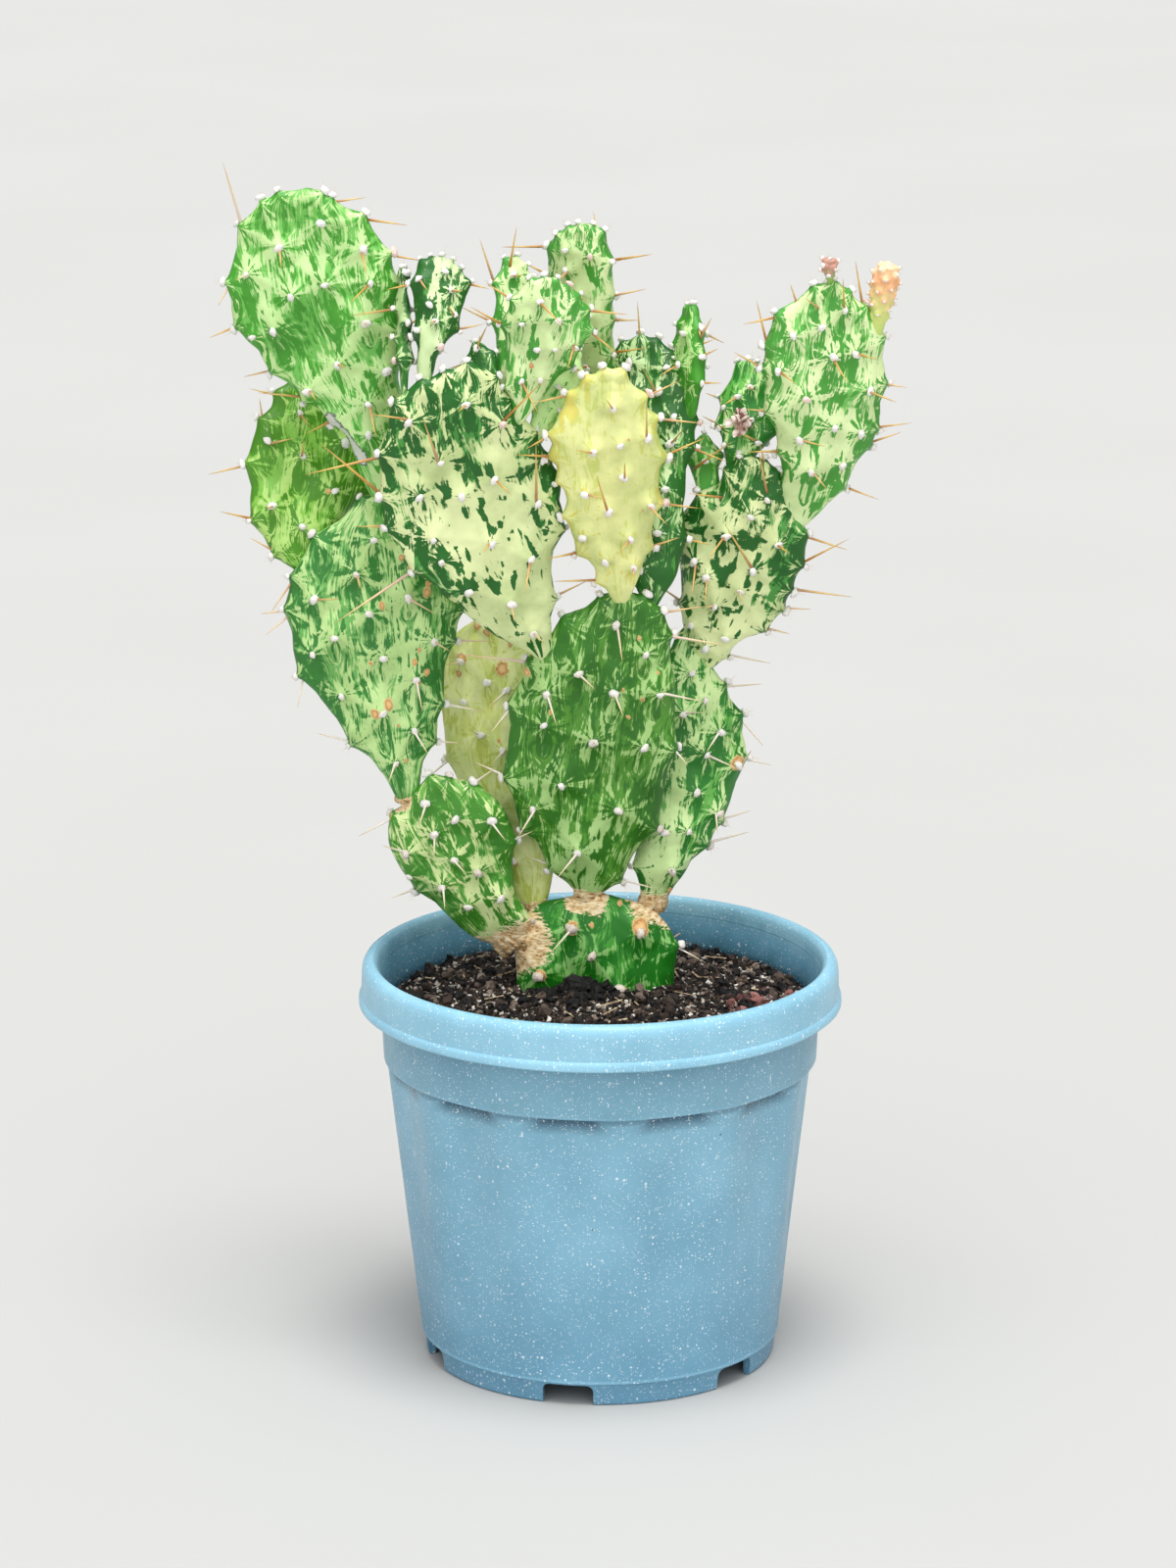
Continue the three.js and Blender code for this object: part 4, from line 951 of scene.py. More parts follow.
# Left branch
# Four pads: a low one with a corky foot, a tall blue-green one with rings of orange scab, a
# bright green one behind, and the largest young one on top, streaked with cream.
low_skin = skin_finish("low pad skin", (66, 142, 36), (112, 180, 74), (222, 238, 168))
teal_skin = skin_finish("blue-green skin", (50, 128, 46), (110, 178, 90), (194, 226, 150), 0.65, 1.3)
bright_skin = skin_finish("bright green skin", (80, 146, 28), (134, 196, 74), (190, 228, 128), 0.6, 1.3)
young_skin = skin_finish("young green skin", (72, 160, 44), (120, 200, 90), (210, 243, 168), 0.45, 1.2)
grow_pad(
    "pad_left_low", "pad_base", (42, -27.5, 1), (-59, 0, 209), 8, 14,
    (4, 13, 18, 22, 25, 22, 8), (4, 7, 8, 14, 18, 15, 5),
    ((63, -4), (54, 3), (48, 14), (49, -18), (41, -4), (33, 2), (41, -21), (23, -7), (52, -6),
     (21, 4), (33, -12)),
    ((33, 61), (6, 36, 61)), low_skin, "green_skin", 0.3, shade=0.05, collar=11, seed=8,
    core=((0.8, 0, 6, 4, 50),), crown=(-7, 0, 5), scabs=((63, -19, 3), (12, -19, 3.4)),
)
grow_pad(
    "pad_left_tall", "pad_left_low", (64.5, -11.5, 0), (-74, 5, 310), -10, 13,
    (4, 10, 23, 35, 36, 28, 12), (4, 7, 13, 18, 24, 17, 5),
    ((84, -13), (62, -22), (74, 4), (54, -6), (58, 12), (42, -21), (45, 5), (34, -7), (16, -4),
     (95, -6), (76, -28), (57, -30), (88, 9), (70, -10), (27, 3)),
    ((23, 49, 72, 83, 96), (21, 34, 56, 67, 88)), teal_skin, "green_skin", 0.45, shade=0.05, veins=0.8,
    core=((0.35, -2, 9, 12, 80),), collar=1.3, crown=(-8, 0, 6), seed=13,
    scabs=((75, 11, 2), (78, 12, 1.4), (72, -5, 1.5), (51, 5, 1.4), (47, 9, 1.4), (52, -10, 1),
           (34, -10, 2), (37, -5, 2.3), (16, 0, 1), (55, 7, 0.8), (44, 6, 0.8), (29, -2, 0.7),
           (88, 3, 1.3), (84, 6, 1.4)),
)
grow_pad(
    "pad_left_back", "pad_left_tall", (84, -28, -2), (-98, 25, 345), -18, 11,
    (5, 13, 21, 23, 22, 16, 12), (4, 7, 8, 21, 25, 23, 17),
    ((39, -7), (28, 5), (21, -16), (15, -6), (54, -8), (45, 8), (43, -18), (59, 4), (41, 18)),
    ((6, 17, 36, 51, 61), (19, 32, 55)), bright_skin, "green_skin", 0.6, shade=0.15, seed=21,
    veins=0.8, core=((0.4, -12, 6, 2, 34),), crown=(-9, 0, 8), scabs=((28, 3, 1.2),),
)
grow_pad(
    "pad_left_top", "pad_left_tall", (103, 1, 0), (-101, -6, 418), 5, 12,
    (4, 7, 9, 25, 34, 29, 19), (4, 7, 11, 18, 22, 19, 6),
    ((102, -12), (107, 4), (95, 15), (86, 0), (70, 10), (74, -21), (58, -3), (52, 12), (42, 4),
     (31, 1), (95, -25), (85, -12), (51, -15), (73, -29), (83, 15)),
    ((37, 47, 59, 77, 92, 110), (39, 63, 79, 90, 104, 112)), young_skin, "green_skin", 0.42,
    crown=(-14, -8, 5), veins=1,
    core=((0.8, 7, 5, 10, 66), (0.35, 10, 6, 55, 92), (1, 5, 4, -20, 28), (0.35, -4, 5, 30, 70)),
    scars=[(23 + 2.5 * k, -4 - 1.1 * k, 2.7) for k in range(7)], seed=34,
)


# Middle branch
# A pale olive pad behind, the broad deep green one in front, and on it a cream one with green
# blotches, a pale yellow one and a dark one.
middle_skin = skin_finish("marbled green skin", (50, 120, 24), (84, 150, 44), (180, 218, 138), 0.88, 1.4)
cream_skin = skin_finish("cream skin", (28, 104, 26), (80, 158, 68), (232, 242, 180), 0.35, 0.75)
olive_skin = skin_finish("olive skin", (202, 208, 102), (222, 229, 136), (236, 240, 170))
yellow_skin = skin_finish("yellow skin", (234, 222, 112), (224, 231, 132), (242, 244, 168))
dark_skin = skin_finish("dark green skin", (26, 100, 22), (76, 144, 56), (206, 228, 170))
grow_pad(
    "pad_pale_back", "pad_base", (52, -21, -4.5), (-38, 30, 261), 14, 11,
    (4, 10, 17, 22, 24, 21, 13), (4, 9, 12, 13, 15, 13, 7),
    ((65, -9), (83, -4), (58, -1), (77, -13), (79, 3), (38, -7), (44, 3), (19, -3), (91, -12), (29, 4)),
    ((57, 81, 98), (63, 93)), olive_skin, "cream_skin", -0.05, shade=-0.5, seed=55, collar=4,
    lift=1.1, scabs=((103, -5, 1.9), (100, -2, 1.5), (92, -12, 2.3), (87, -14, 1.5), (87, 2, 3),
                     (95, 6, 1.1), (18, -3, 1.2), (62, -2, 1.1)),
)
grow_pad(
    "pad_middle", "pad_base", (58, -3, 0), (9, -10, 278), 0, 15,
    (4, 16, 30, 35, 32, 24, 10), (5, 13, 21, 23, 22, 17, 11),
    ((107, -2), (83, 0), (67, -22), (46, -14), (35, -22), (39, 7), (21, -5), (84, 15), (64, -5),
     (64, 12), (88, -13), (98, 9), (79, -23)),
    ((11, 25, 43, 70, 87, 104), (9, 31, 61, 103, 111)), middle_skin, "green_skin", 0.35, shade=0.05,
    core=((1, -3, 9, -20, 32), (0.3, 14, 5, 60, 96)), collar=5.5, crown=(-8, -2, 6), seed=89,
    scabs=((84, -30, 1.5), (72, -21, 0.8), (103, 6, 0.9), (84, 3, 0.7), (81, 10, 0.8), (74, 6, 0.8),
           (91, 14, 0.8)),
)
grow_pad(
    "pad_middle_upper", "pad_middle", (91.5, -27, 2), (-45, -27, 361), -8, 13,
    (4, 16, 28, 38, 38, 33, 24), (5, 7, 12, 20, 17, 11, 6),
    ((98, -4), (88, 6), (97, -24), (81, -18), (70, -1), (55, -26), (48, -8), (57, 11), (38, 4),
     (33, -19), (24, -6), (71, 15), (71, -27), (67, -13), (11, -1), (46, -25)),
    ((43, 61, 72, 87, 103), (19, 43, 61, 69, 79, 93, 102)), cream_skin, "cream_skin", 0.14,
    core=((1.15, -7, 20, -20, 80),), crown=(-16, -8, 0), veins=0.7, seed=144,
)
grow_pad(
    "pad_yellow", "pad_middle", (116, -2, 2), (4, -27, 360), -6, 12,
    (4, 8, 16, 18, 22, 18, 10), (4, 8, 12, 15, 16, 11, 5),
    ((72, -1), (60, 10), (57, -8), (47, 2), (42, -11), (35, -4), (36, 10), (26, -12), (24, 3),
     (17, -5), (13, 4), (59, 1)),
    ((7, 18, 32, 45, 54, 62, 76), (18, 34, 51, 65, 73)), yellow_skin, "yellow_skin", -0.3,
    shade=-0.6, crown=(-9, -3, 3), reach=4.6, ridge=0.1, veins=0.2, scale=0.7, seed=233,
    scabs=((60, 4, 0.7), (34, 8, 0.6)),
)
grow_pad(
    "pad_dark_back", "pad_middle", (114.5, 9, -2), (14, 16, 362), 12, 11,
    (4, 7, 8, 10, 12, 12, 9), (4, 10, 12, 14, 17, 14, 8),
    ((71, 6), (62, 11), (53, 10), (82, -3), (11, -2), (72, -2), (62, 4), (38, 1), (52, -3), (38, 7),
     (23, 4), (79, 9)),
    ((39, 73, 84), (21, 52, 61, 71, 84)), dark_skin, "green_skin", 0.4, shade=0.2, scale=0.8,
    crown=(-6, 0, 5), seed=377,
)


# Right branch
# A green pad low down, a cream one with dark margins on its rim, and on that a marbled one, held
# out to the right.
right_skin = skin_finish("right pad skin", (40, 128, 38), (106, 182, 80), (212, 238, 168))
marbled_skin = skin_finish("marbled skin", (74, 160, 56), (120, 196, 94), (226, 244, 182), 0.6, 1.2)
grow_pad(
    "pad_right_low", "pad_base", (53, 20, -3.5), (31, 16, 259), -12, 13,
    (4, 6, 8, 10, 10, 9, 5), (4, 9, 18, 25, 23, 12, 5),
    ((55, 22), (78, 7), (73, 0), (45, 9), (16, 4), (87, 1), (59, 10), (30, -1), (38, 17), (31, 7),
     (67, 14)),
    ((15, 47, 79), (25, 34, 57, 72, 82)), right_skin, "green_skin", 0.14,
    core=((0.6, -2, 7, 0, 66),), collar=8, crown=(0, 5), seed=610,
    scabs=((56, 22, 2.8), (8, 5, 1.2)),
)
grow_pad(
    "pad_right_middle", "pad_right_low", (89.5, 7, 0), (52, -1, 324), 10, 13,
    (4, 9, 12, 18, 18, 9, 5), (4, 8, 19, 23, 24, 17, 9),
    ((54, -2), (44, 10), (41, -10), (63, 5), (27, 0), (16, 6), (35, 7), (17, -6), (55, 16), (70, 9),
     (37, -5), (10, 0)),
    ((21, 50, 62, 74), (6, 20, 29, 37, 47, 58, 68, 74)), cream_skin, "cream_skin", 0.25,
    shade=0.08, veins=0.6, core=((1.2, 1, 12, -20, 64),), crown=(-3, 4, 9), scale=0.9, seed=987,
)
grow_pad(
    "pad_right_top", "pad_right_middle", (62.5, 19.5, 0), (79, -10, 386), -12, 12,
    (4, 7, 8, 16, 19, 17, 8), (6, 12, 19, 23, 22, 17, 6),
    ((78, 4), (68, -12), (62, 2), (47, -5), (51, 16), (37, 6), (32, -5), (24, 11), (21, 1), (72, -3),
     (64, 10), (36, 16), (55, -15)),
    ((25, 39, 54, 62, 73), (14, 30, 36, 52, 68, 78)), marbled_skin, "green_skin", 0.2, shade=0.05, veins=0.7,
    core=((0.9, 1, 11, -20, 42),), crown=(-6, 0, 5), scale=0.9, seed=1597,
)


# Young pads
# The newest growth, budding from areoles round the crowns: small, thin pads of soft flesh, closely
# set with low areoles.
def grow_young(name, *shape, skin=young_skin, slot="green_skin", cover=0.2, **more):
    grow_pad(name, *shape, skin, slot, cover, lift=1.2, reach=5.5, wool=1.2, scale=0.55, **more)


grow_young(
    "pad_dark_finger", "pad_dark_back", (63.3, 15.5, 0), (31, 14, 374), 65, 7,
    (3, 6, 8, 8, 8, 7, 4), (3, 6, 8, 9, 8, 6, 4),
    ((17, 2), (24, -4), (11, -2), (28, 3), (31, -3), (20, -3)), ((12, 22, 31), (11, 20, 29)),
    cover=0.4, shade=0.35, crown=(-2, 2), seed=61, core=((1.1, -1, 2.5, -20, 30),),
)
grow_young(
    "pad_top_twin", "pad_middle_upper", (107.5, -15.5, -2), (-54, -15, 395), 0, 11,
    (2, 3, 4, 6, 8, 8, 6), (2, 3, 4, 8, 10, 10, 5),
    ((33, -6), (37, 2), (31, 5), (25, -2), (20, 1), (16, -4), (23, 7), (12, 3)),
    ((15, 32), (19, 35)), skin=dark_skin, slot="cream_skin", cover=0.4, shade=0.3,
    core=((1.4, 1, 3, -20, 60),), crown=(-6, -3, 0, 3, 6), seed=62,
)
grow_young(
    "pad_top_slim", "pad_middle_upper", (104.5, -23, -2), (-67, -9, 390), 75, 4,
    (2, 3, 4, 5, 5, 4, 3), (2, 3, 4, 4, 4, 3, 2), ((30, -1), (20, -1), (12, 1)),
    ((18, 34), (24,)), skin=dark_skin, shade=0.05, crown=(-2, 0, 2), seed=63,
)
grow_young(
    "pad_top_right", "pad_middle_upper", (87, 12.5, 2), (-17, -27, 391), -12, 9,
    (2, 4, 7, 10, 12, 10, 6), (2, 5, 9, 14, 17, 14, 6),
    ((42, -3), (34, -7), (37, 5), (26, -1), (29, 12), (16, 3), (14, -3), (27, 5)),
    ((10, 31, 40), (21, 34, 41)), skin=marbled_skin, slot="cream_skin", cover=0.25,
    core=((1.0, -1, 8, -20, 60),), crown=(-6, -2, 2, 6, 10), seed=64, scabs=((20, -1, 1.3),),
)
grow_young(
    "pad_top_right_back", "pad_middle_upper", (93, 8.5, -3), (-30, -6, 394), -10, 7,
    (2, 3, 3, 4, 5, 5, 3), (2, 6, 8, 9, 9, 7, 4), ((42, 0), (34, 3), (20, 1), (28, -1)),
    ((26, 39), (31, 42)), skin=marbled_skin, cover=0.45, shade=0.3, crown=(-2, 1, 4), seed=65,
    core=((1.7, 2.5, 4, -20, 60),),
)
grow_young(
    "pad_nub", "pad_middle_upper", (101.5, 6.5, 0), (-42, -17, 366), 0, 5,
    (2, 3, 4, 5, 5, 4, 2), (2, 3, 4, 5, 4, 3, 2), ((11, 0),), ((10,), (9,)), skin=dark_skin,
    cover=0.5, shade=0.2, seed=66,
)
grow_young(
    "pad_between", "pad_middle_upper", (76, 15.5, 0), (-8, -9, 362), 0, 6,
    (3, 4, 5, 6, 6, 4, 2), (2, 3, 4, 5, 5, 4, 2), ((20, -1), (28, 1), (13, 2)),
    ((12, 24), (19, 28)), slot="cream_skin", cover=-0.1, shade=-0.2, seed=67,
)
grow_young(
    "pad_top_centre", "pad_dark_back", (72.6, -11.5, 0), (-6, 2, 404), 18, 13,
    (4, 8, 10, 13, 14, 14, 9), (3, 3, 3, 5, 7, 8, 6),
    ((48, -6), (53, 3), (40, -3), (32, 0), (22, -4), (55, -6), (13, -4), (30, -8)),
    ((25, 44, 55), (15, 27, 36, 49)), skin=marbled_skin, cover=-0.12, shade=-0.15, seed=68,
    crown=(-9, -5, -1, 3, 6), core=((1.3, -1, 3.5, -20, 50), (0.9, -8, 2.5, 10, 50)),
)
grow_young(
    "pad_right_young", "pad_right_middle", (72.5, -4, -1), (51, 10, 355), 20, 9,
    (2, 4, 5, 8, 8, 6, 4), (2, 4, 8, 12, 9, 7, 5),
    ((27, -1), (23, -5), (16, -5), (10, -3), (13, 7), (7, 2), (31, 3), (20, 5)),
    ((17, 26), (17, 23, 32)), skin=right_skin, cover=0.35, shade=0.1, crown=(-3, 0, 3), seed=69,
)
grow_young(
    "pad_right_nub", "pad_right_middle", (61, -12, -1), (36, 14, 328), 0, 5,
    (2, 3, 4, 5, 6, 5, 3), (2, 4, 5, 5, 5, 4, 2), ((13, 0),), ((16,), (15,)), slot="cream_skin",
    cover=0.1, seed=70,
)


# Corky collars
# Old joints heal over with rough tan cork, which low on the plant stands out as a thick ring.
# Each is a hoop fitted round the foot of its pad.
def cork_finish():
    finish, tree, surface, where = new_finish("cork", 0.9, 0.2)
    crust = grain(tree, stretched(tree, where, (0.7, 0.7, 2)), 500, 6, 0.66)
    bark = ramp(tree, crust, [
        (0.34, (126, 86, 50)), (0.43, (200, 160, 108)), (0.54, (232, 208, 162)),
        (0.7, (250, 240, 214)),
    ])
    dress(tree, surface, bark, crust, 0.9, 0.0015)
    return finish


HOOP_RADIUS = 0.25
HOOP_BULK = 0.35
HOOP_BULK_WITH_SIZE = 0.11
HOOP_HEIGHT = 2.2
start_fresh()
bpy.ops.mesh.primitive_torus_add(
    major_radius=1, minor_radius=HOOP_RADIUS, major_segments=72, minor_segments=14
)
hoop_points, hoop_corners = shape_of(bpy.context.object)
around = np.arctan2(hoop_points[:, 1], hoop_points[:, 0])
out = (np.hypot(hoop_points[:, 0], hoop_points[:, 1]) - 1) / HOOP_RADIUS
up = hoop_points[:, 2] / HOOP_RADIUS
points, corners = [], []
for pad, size in collars:
    # The hoop is fitted round the pad's foot and roughened.
    bulk = HOOP_BULK + HOOP_BULK_WITH_SIZE * size
    v = np.full(len(around), pad["sink"] + 0.8 + 0.1 * size)
    side = np.cos(around)
    width = half_width(pad, v, side) - 0.1
    thick = half_thickness(pad, v, 0 * v) - 0.1
    rough = 1 + 0.7 * layered(np.stack([side * 5, np.sin(around) * 5, up * 1.5 + 9 * size], 1), 5, 3)
    places = np.stack([
        v + up * bulk * rough * HOOP_HEIGHT,
        side * (width + out * bulk * rough),
        np.sin(around) * (thick + out * bulk * rough),
    ], 1)
    corners.append(hoop_corners + len(points) * len(around))
    points.append(to_world(pad, places))
    # The skin of the pad below turns corky near the joint.
    skin = pads[pad["on"]]["piece"].data
    shown = (read_points(skin) - np.array(pot_axis)) / mm - np.array(pad["root"])
    aside = shown @ np.array(pad["across"])
    aside = np.clip(np.abs(aside) - float(width.min()), 0, None)
    rest = np.hypot(shown @ np.array(pad["along"]), shown @ np.array(pad["out"]))
    gap = np.hypot(aside, np.clip(rest - float(thick.min()), 0, None))
    field = skin.attributes["cork"].data
    before = np.empty(len(shown))
    field.foreach_get("value", before)
    field.foreach_set("value", np.maximum(before, np.clip(1.15 - gap / size, 0, 1)))
cork_collars = piece_from("cork_collars", points, corners, cork_finish())
smoothed(cork_collars)
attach(cork_collars, "root")


# Buds and dried flower
# Two buds on the crown of the right-hand pad, one a woolly knob on a short green stalk and one a
# knobbly cone with a peach crown, and the dry clump that a flower left on the pad beside it.
GOLDEN_TURN = 2.39996
KNOBS_FROM = 0.24
KNOBS_TO = 0.98
KNOB_REACH = 1.7


def bud(name, node, foot, top, profile, knobs, depth, finish, woolly):
    """A small body turned about its own line, with knobs and areoles set round it in a spiral."""
    foot, top = Vector(foot), Vector(top)
    start_fresh()
    bpy.ops.mesh.primitive_uv_sphere_add(segments=96, ring_count=84, radius=1)
    piece = bpy.context.object
    piece.name = name
    ball = read_points(piece.data)
    share = (1 + ball[:, 2]) / 2
    around = np.arctan2(ball[:, 1], ball[:, 0])
    heights, widths = zip(*profile)
    radius = np.interp(share, heights, widths)
    push = np.zeros(len(share))
    span = (top - foot).length
    spots = []
    for k in range(knobs):
        at = KNOBS_FROM + (KNOBS_TO - KNOBS_FROM) * (k + 0.5) / knobs
        aside = np.angle(np.exp(1j * (around - k * GOLDEN_TURN)))
        gap = np.hypot((share - at) * span, aside * np.interp(at, heights, widths))
        push = np.maximum(push, np.clip(1 - gap / KNOB_REACH, 0, 1))
        spots.append(int(np.argmin((share - at) ** 2 * 9 + aside ** 2)))
    radius = radius + depth * push ** 0.7 * np.clip(radius, 0, 2) / 2
    local = np.stack([radius * np.cos(around), radius * np.sin(around), share * span], 1)
    turn = turned_to(top - foot, 0.4, (1, 1, 1))
    write_points(piece.data, (local @ turn.T + np.array(foot)) * mm + np.array(pot_axis))
    tones = share + 0.25 * push * (share > 0.4)
    note(piece.data, length=tones)
    bpy.ops.object.shade_smooth()
    piece.data.materials.append(finish)
    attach(piece, "root")
    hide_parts(node)
    shown, normals = read_points(piece.data), read_normals(piece.data)
    for k in spots:
        wool_spots.append((Vector(shown[k]), Vector(normals[k]), woolly))


peach_skin = mottled_finish("peach bud skin", 0.55, 0.4, (800, 4, 0.6), [
    (0.1, (196, 220, 120)), (0.45, (226, 224, 142)), (0.62, (244, 208, 150)),
    (0.8, (240, 172, 124)), (1.0, (250, 214, 170)),
], 0.4, 0.0006, "length", 0.35)
green_bud_skin = mottled_finish("green bud skin", 0.55, 0.4, (800, 4, 0.6), [
    (0.2, (120, 176, 70)), (0.5, (158, 186, 110)), (0.7, (200, 150, 132)),
], 0.4, 0.0006, "length", 0.35)
bud(
    "orange_bud", "bud_orange", (93.5, -5, 367), (98, -7.5, 394),
    [(0, 1.2), (0.05, 2.4), (0.2, 2.8), (0.4, 3.4), (0.62, 4.4), (0.8, 4.5), (0.93, 3.2), (1, 0)],
    34, 0.9, peach_skin, 0.62,
)
bud(
    "woolly_bud", "bud_small", (78, -10.5, 384), (77.5, -12, 396.5),
    [(0, 1), (0.35, 1), (0.55, 1.8), (0.75, 2.5), (0.9, 2), (1, 0)], 13, 0.8, green_bud_skin, 0.85,
)
petal_skin = mottled_finish("dried flower", 0.85, 0.25, (900, 4, 0.6), [
    (0.1, (86, 58, 48)), (0.35, (166, 124, 108)), (0.6, (216, 186, 172)),
    (0.9, (246, 232, 224)),
], 0.5, 0.0006, "tone", 0.7)
flower_heart = Vector((48.3, -1.5, 337))
PETALS = 64
petal_places, petal_tones = [], []
for k in range(PETALS):
    line = Vector((chance.gauss(0, 1), chance.gauss(-0.5, 0.8), chance.gauss(0, 1))).normalized()
    spot = flower_heart + line * chance.uniform(1, 4.4)
    sizes = [chance.uniform(0.8, 1.8) * mm, chance.uniform(0.3, 0.5) * mm, chance.uniform(1.2, 2.4) * mm]
    petal_places.append((turned_to(line, chance.uniform(0, 6.3), sizes), pot_axis + spot * mm))
    petal_tones.append(chance.uniform(0.2, 1))
petal_shape = lump_shape(2, 0.5, 59)
petals = strewn("dried_petals", [(petal_shape, petal_places, petal_tones)], petal_skin)
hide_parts("dried_flower")
smoothed(petals, 40)


# Areole wool
# Each areole is a small cushion of white wool, browner low on the plant and here and there pink
# near the top. One rough tuft is copied to every areole.
wool_skin = mottled_finish("areole wool", 0.95, 0.2, (1800, 4, 0.7), [
    (0.0, (168, 132, 104)), (0.25, (222, 206, 190)), (0.45, (246, 242, 236)),
    (0.85, (252, 250, 248)), (1.0, (250, 214, 206)),
], 0.8, 0.0006, "tone", 0.5, 0.3)
# Heights in metres: where wool turns from brown to white, and over how far.
BROWN_BELOW = 0.16
BROWN_TO_WHITE = 0.25
PINK_SHARE = 0.04
tuft_shape = lump_shape(2, 0.35, 53)
tuft_places, tuft_tones = [], []
for point, normal, size in wool_spots:
    high = (point.z - BROWN_BELOW) / BROWN_TO_WHITE
    tone = min(0.95, max(0.2, 0.38 + 0.35 * high + chance.uniform(-0.12, 0.12)))
    tuft_tones.append(1.0 if chance.random() < PINK_SHARE and high > 0.6 else tone)
    sizes = (size * mm, size * mm * 0.95, size * mm * 0.8)
    turn = turned_to(normal, chance.uniform(0, 6.3), sizes)
    tuft_places.append((turn, point + normal * 0.25 * size * mm))
wool = strewn("areole_wool", [(tuft_shape, tuft_places, tuft_tones)], wool_skin)
smoothed(wool)


# Spines
# Stiff needles from the areoles, amber on the upper pads and weathered to grey-white on the
# lower ones, with short bristles round their feet. The long ones stand where the solids' do.
def spine_finish():
    finish, tree, surface, where = new_finish("spines", 0.4, 0.5)
    mottle = grain(tree, where, 400, 3)
    reach = maths(tree, "MULTIPLY", attribute(tree, "length"), 0.8)
    place = maths(tree, "MULTIPLY_ADD", mottle, 0.25, reach)
    amber = ramp(tree, place, [
        (0.0, (118, 64, 20)), (0.28, (178, 116, 36)), (0.6, (224, 184, 92)),
        (1.0, (172, 122, 50)),
    ])
    grey = ramp(tree, place, [
        (0.0, (250, 240, 232)), (0.4, (240, 230, 220)), (0.8, (226, 205, 160)),
        (1.0, (150, 120, 90)),
    ])
    colour = blended(tree, attribute(tree, "tone"), grey, amber)
    dress(tree, surface, colour, mottle, 0.15, 0.0003)
    return finish


NEEDLE_POINT = math.radians(50)
# Height and radius up a needle, as shares of its length and thickness.
NEEDLE_RINGS = ((0.12, 1.0), (0.38, 0.82), (0.62, 0.6), (0.84, 0.34), (1.0, 0.07))
NEEDLE_THICKNESS = 0.38
THICKER_WITH_LENGTH = 0.006
NEEDLE_SUNK = 0.8
# Heights in metres: where spines turn from grey to amber, and over how far.
AMBER_ABOVE = 0.235
GREY_TO_AMBER = 0.05
# The needles at the far left of the crown are paler than their neighbours. Metres.
PALE_LEFT_OF = -0.105
PALE_ABOVE = 0.37
BRISTLES = 6
BRISTLE_THICKNESS = 0.075


def needles_of(node):
    """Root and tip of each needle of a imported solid: the corners that come to a sharp point."""
    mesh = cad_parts[node].data
    points, index = np.unique(np.round(read_points(mesh), 6), axis=0, return_inverse=True)
    index = index.ravel()
    opening, joined = {}, {}
    for polygon in mesh.polygons:
        corner = [int(index[k]) for k in polygon.vertices]
        for a, b, c in (corner, corner[1:] + corner[:1], corner[2:] + corner[:2]):
            left, right = Vector(points[b] - points[a]), Vector(points[c] - points[a])
            if left.length > 0 and right.length > 0:
                opening[a] = opening.get(a, 0) + left.angle(right)
                joined.setdefault(a, set()).update((b, c))
    found = []
    for tip, angle in opening.items():
        if angle > NEEDLE_POINT:
            continue
        edges = points[sorted(joined[tip])] - points[tip]
        lengths = np.linalg.norm(edges, axis=1)
        mean = Vector((edges / lengths[:, None]).mean(0)).normalized()
        found.append((Vector(points[tip]) + mean * float(np.median(lengths)), Vector(points[tip])))
    return sorted(found, key=lambda pair: tuple(pair[1]))


start_fresh()
bpy.ops.mesh.primitive_circle_add(vertices=6, radius=1, fill_type="NGON")
bpy.ops.object.mode_set(mode="EDIT")
last_height, last_radius = 0, 1
for height, radius in NEEDLE_RINGS:
    grow = radius / last_radius
    bpy.ops.mesh.extrude_region_move(TRANSFORM_OT_translate={"value": (0, 0, height - last_height)})
    bpy.ops.transform.resize(value=(grow, grow, 1), center_override=(0, 0, 0))
    last_height, last_radius = height, radius
bpy.ops.mesh.select_all(action="SELECT")
bpy.ops.mesh.normals_make_consistent(inside=False)
bpy.ops.object.mode_set(mode="OBJECT")
spine_shape = shape_of(bpy.context.object)
spine_places, spine_tones = [], []
for name in pads:
    for root, tip in needles_of(name):
        line = tip - root
        thick = NEEDLE_THICKNESS * mm + THICKER_WITH_LENGTH * line.length
        turn = turned_to(
            line, chance.uniform(0, 6.3), (thick, thick, line.length + NEEDLE_SUNK * mm)
        )
        spine_places.append((turn, root - line.normalized() * NEEDLE_SUNK * mm))
        high = min(1, max(0, (tip.z - AMBER_ABOVE) / GREY_TO_AMBER))
        high = 0.5 if tip.x < PALE_LEFT_OF and tip.z > PALE_ABOVE else high
        spine_tones.append(min(1, max(0, high * 0.9 + chance.uniform(-0.1, 0.15))))
bristle_places, bristle_tones = [], []
for point, normal, size in wool_spots:
    for _ in range(BRISTLES):
        aside = Vector([chance.gauss(0, 0.55) for _ in range(3)])
        line = (normal + aside).normalized()
        if line.dot(normal) < 0.2:
            continue
        thick = BRISTLE_THICKNESS * mm
        sizes = (thick, thick, chance.uniform(1.2, 2.6) * size * mm)
        bristle_places.append((turned_to(line, 0, sizes), point + normal * 0.3 * mm))
        bristle_tones.append(chance.uniform(0, 0.8))
start_fresh()
bpy.ops.mesh.primitive_cone_add(vertices=3, radius1=1, radius2=0, depth=1, location=(0, 0, 0.5))
bpy.ops.object.transform_apply(location=True)
bristle_shape = shape_of(bpy.context.object)
spine_skin = spine_finish()
spines = strewn("spines", [(spine_shape, spine_places, spine_tones)], spine_skin)
smoothed(spines)
if bristle_places:
    strewn("bristles", [(bristle_shape, bristle_places, bristle_tones)], spine_skin)


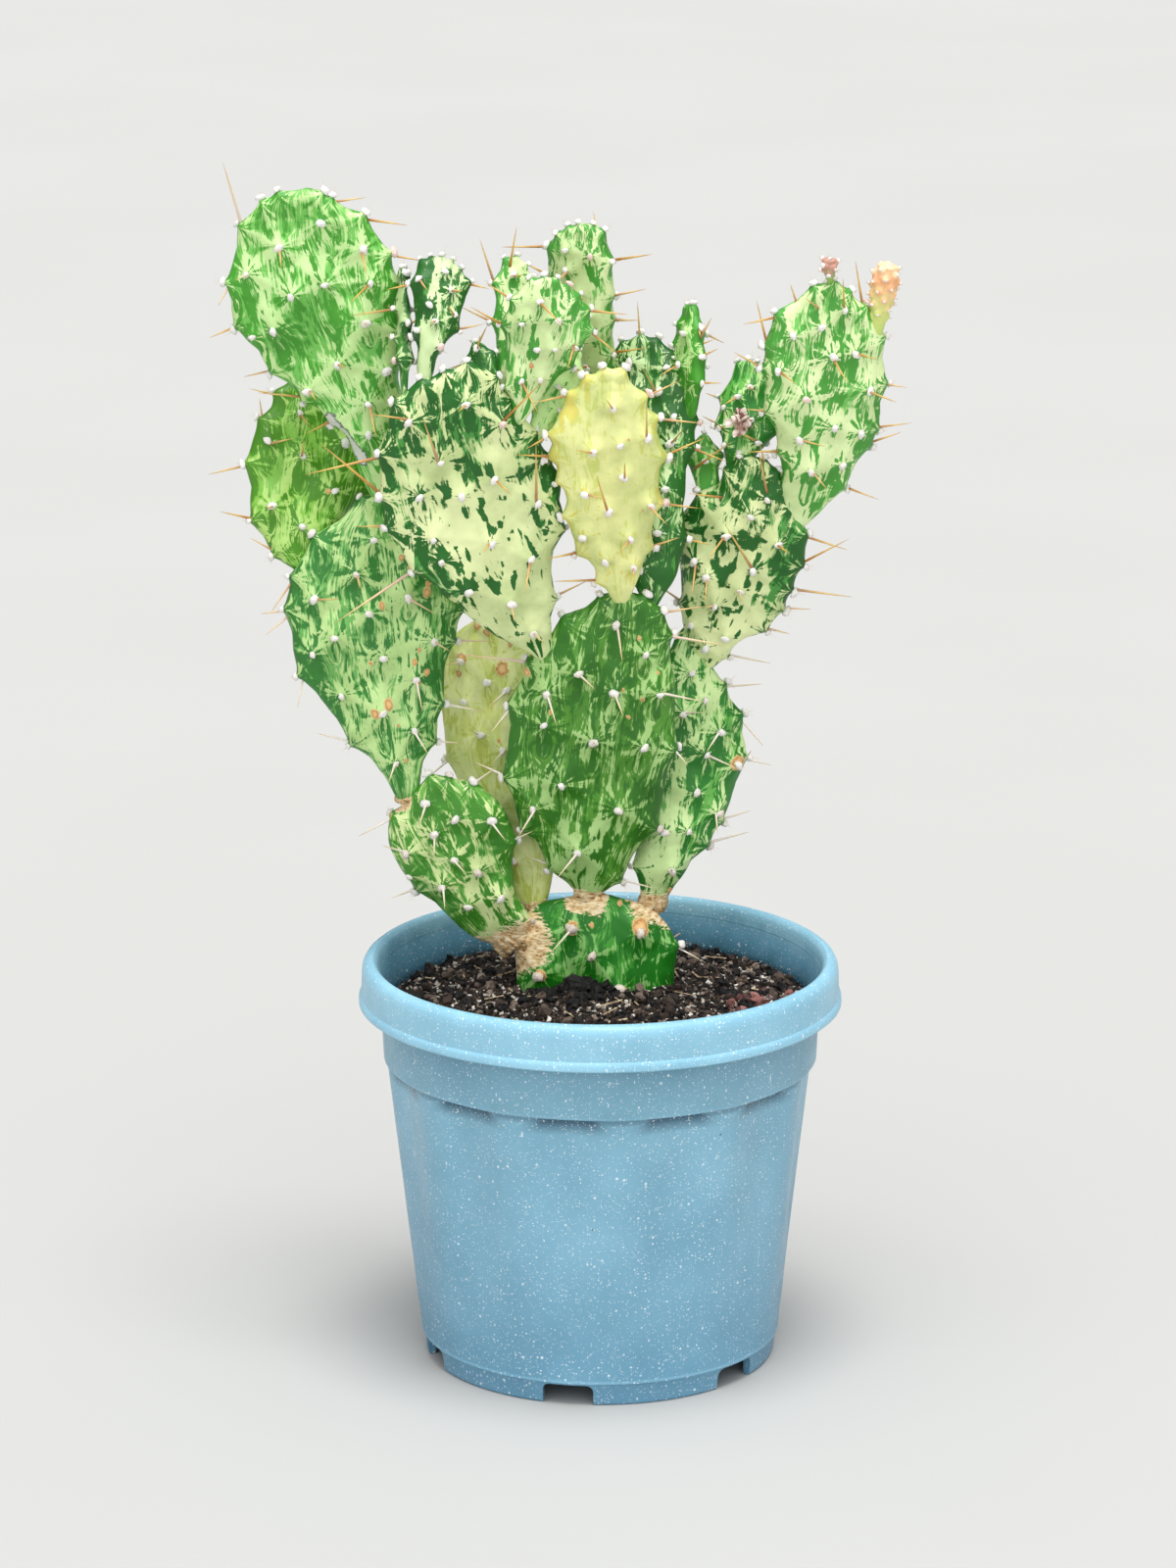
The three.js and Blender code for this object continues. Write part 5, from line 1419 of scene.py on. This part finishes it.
# Floor, light and camera
# A pale studio floor under a soft overhead light and a pale sky, brighter on the side that the
# photo was taken from.
SKY_STRENGTH = 1.46
FRONT_GLOW = 0.95
SUN_STRENGTH = 2.0
SUN_SPREAD = math.radians(26)
SUN_TILT = (math.radians(11), math.radians(3), 0)
CAMERA_PLACE = (-0.0043, -1.9, 0.7208)
CAMERA_DOWN = math.radians(15.11)
CAMERA_LENS = 129.15
start_fresh()
bpy.ops.mesh.primitive_plane_add(size=40, location=(0, 0, 0))
floor = bpy.context.object
floor.name = "studio_floor"
floor_finish, tree, surface, where = new_finish("studio floor", 0.9, 0.1)
paper = ramp(tree, grain(tree, where, 3, 2), [(0.3, (186, 186, 184)), (0.7, (188, 188, 186))])
tree.links.new(paper, surface.inputs["Base Color"])
floor.data.materials.append(floor_finish)

world = bpy.data.worlds.new("studio")
bpy.context.scene.world = world
world.use_nodes = True
sky_tree = world.node_tree
sky_way = knot(sky_tree, "ShaderNodeTexCoord").outputs["Generated"]
sky_way = knot(sky_tree, "ShaderNodeSeparateXYZ", {0: sky_way}).outputs
sky_colour = ramp(sky_tree, sky_way[2], [(0.0, 0.06), (0.6, 0.12), (0.85, 0.9), (1.0, 1.1)])
front = maths(sky_tree, "MULTIPLY", sky_way[1], -FRONT_GLOW, clamp=True)
sky_colour = maths(sky_tree, "ADD", sky_colour, front)
sky_tree.links.new(sky_colour, sky_tree.nodes["Background"].inputs["Color"])
sky_tree.nodes["Background"].inputs["Strength"].default_value = SKY_STRENGTH

sun = bpy.data.lights.new("soft_top_light", "SUN")
sun.energy = SUN_STRENGTH
sun.angle = SUN_SPREAD
sun_object = bpy.data.objects.new("soft_top_light", sun)
sun_object.rotation_euler = SUN_TILT
bpy.context.scene.collection.objects.link(sun_object)

bpy.context.scene.view_settings.view_transform = "Standard"
bpy.context.scene.view_settings.look = "None"

view = bpy.data.cameras.new("photo_view")
view.sensor_width = 36
view.lens = CAMERA_LENS
camera = bpy.data.objects.new("photo_view", view)
camera.location = pot_axis + Vector(CAMERA_PLACE)
camera.rotation_euler = (math.radians(90) - CAMERA_DOWN, 0, 0)
bpy.context.scene.collection.objects.link(camera)
bpy.context.scene.camera = camera
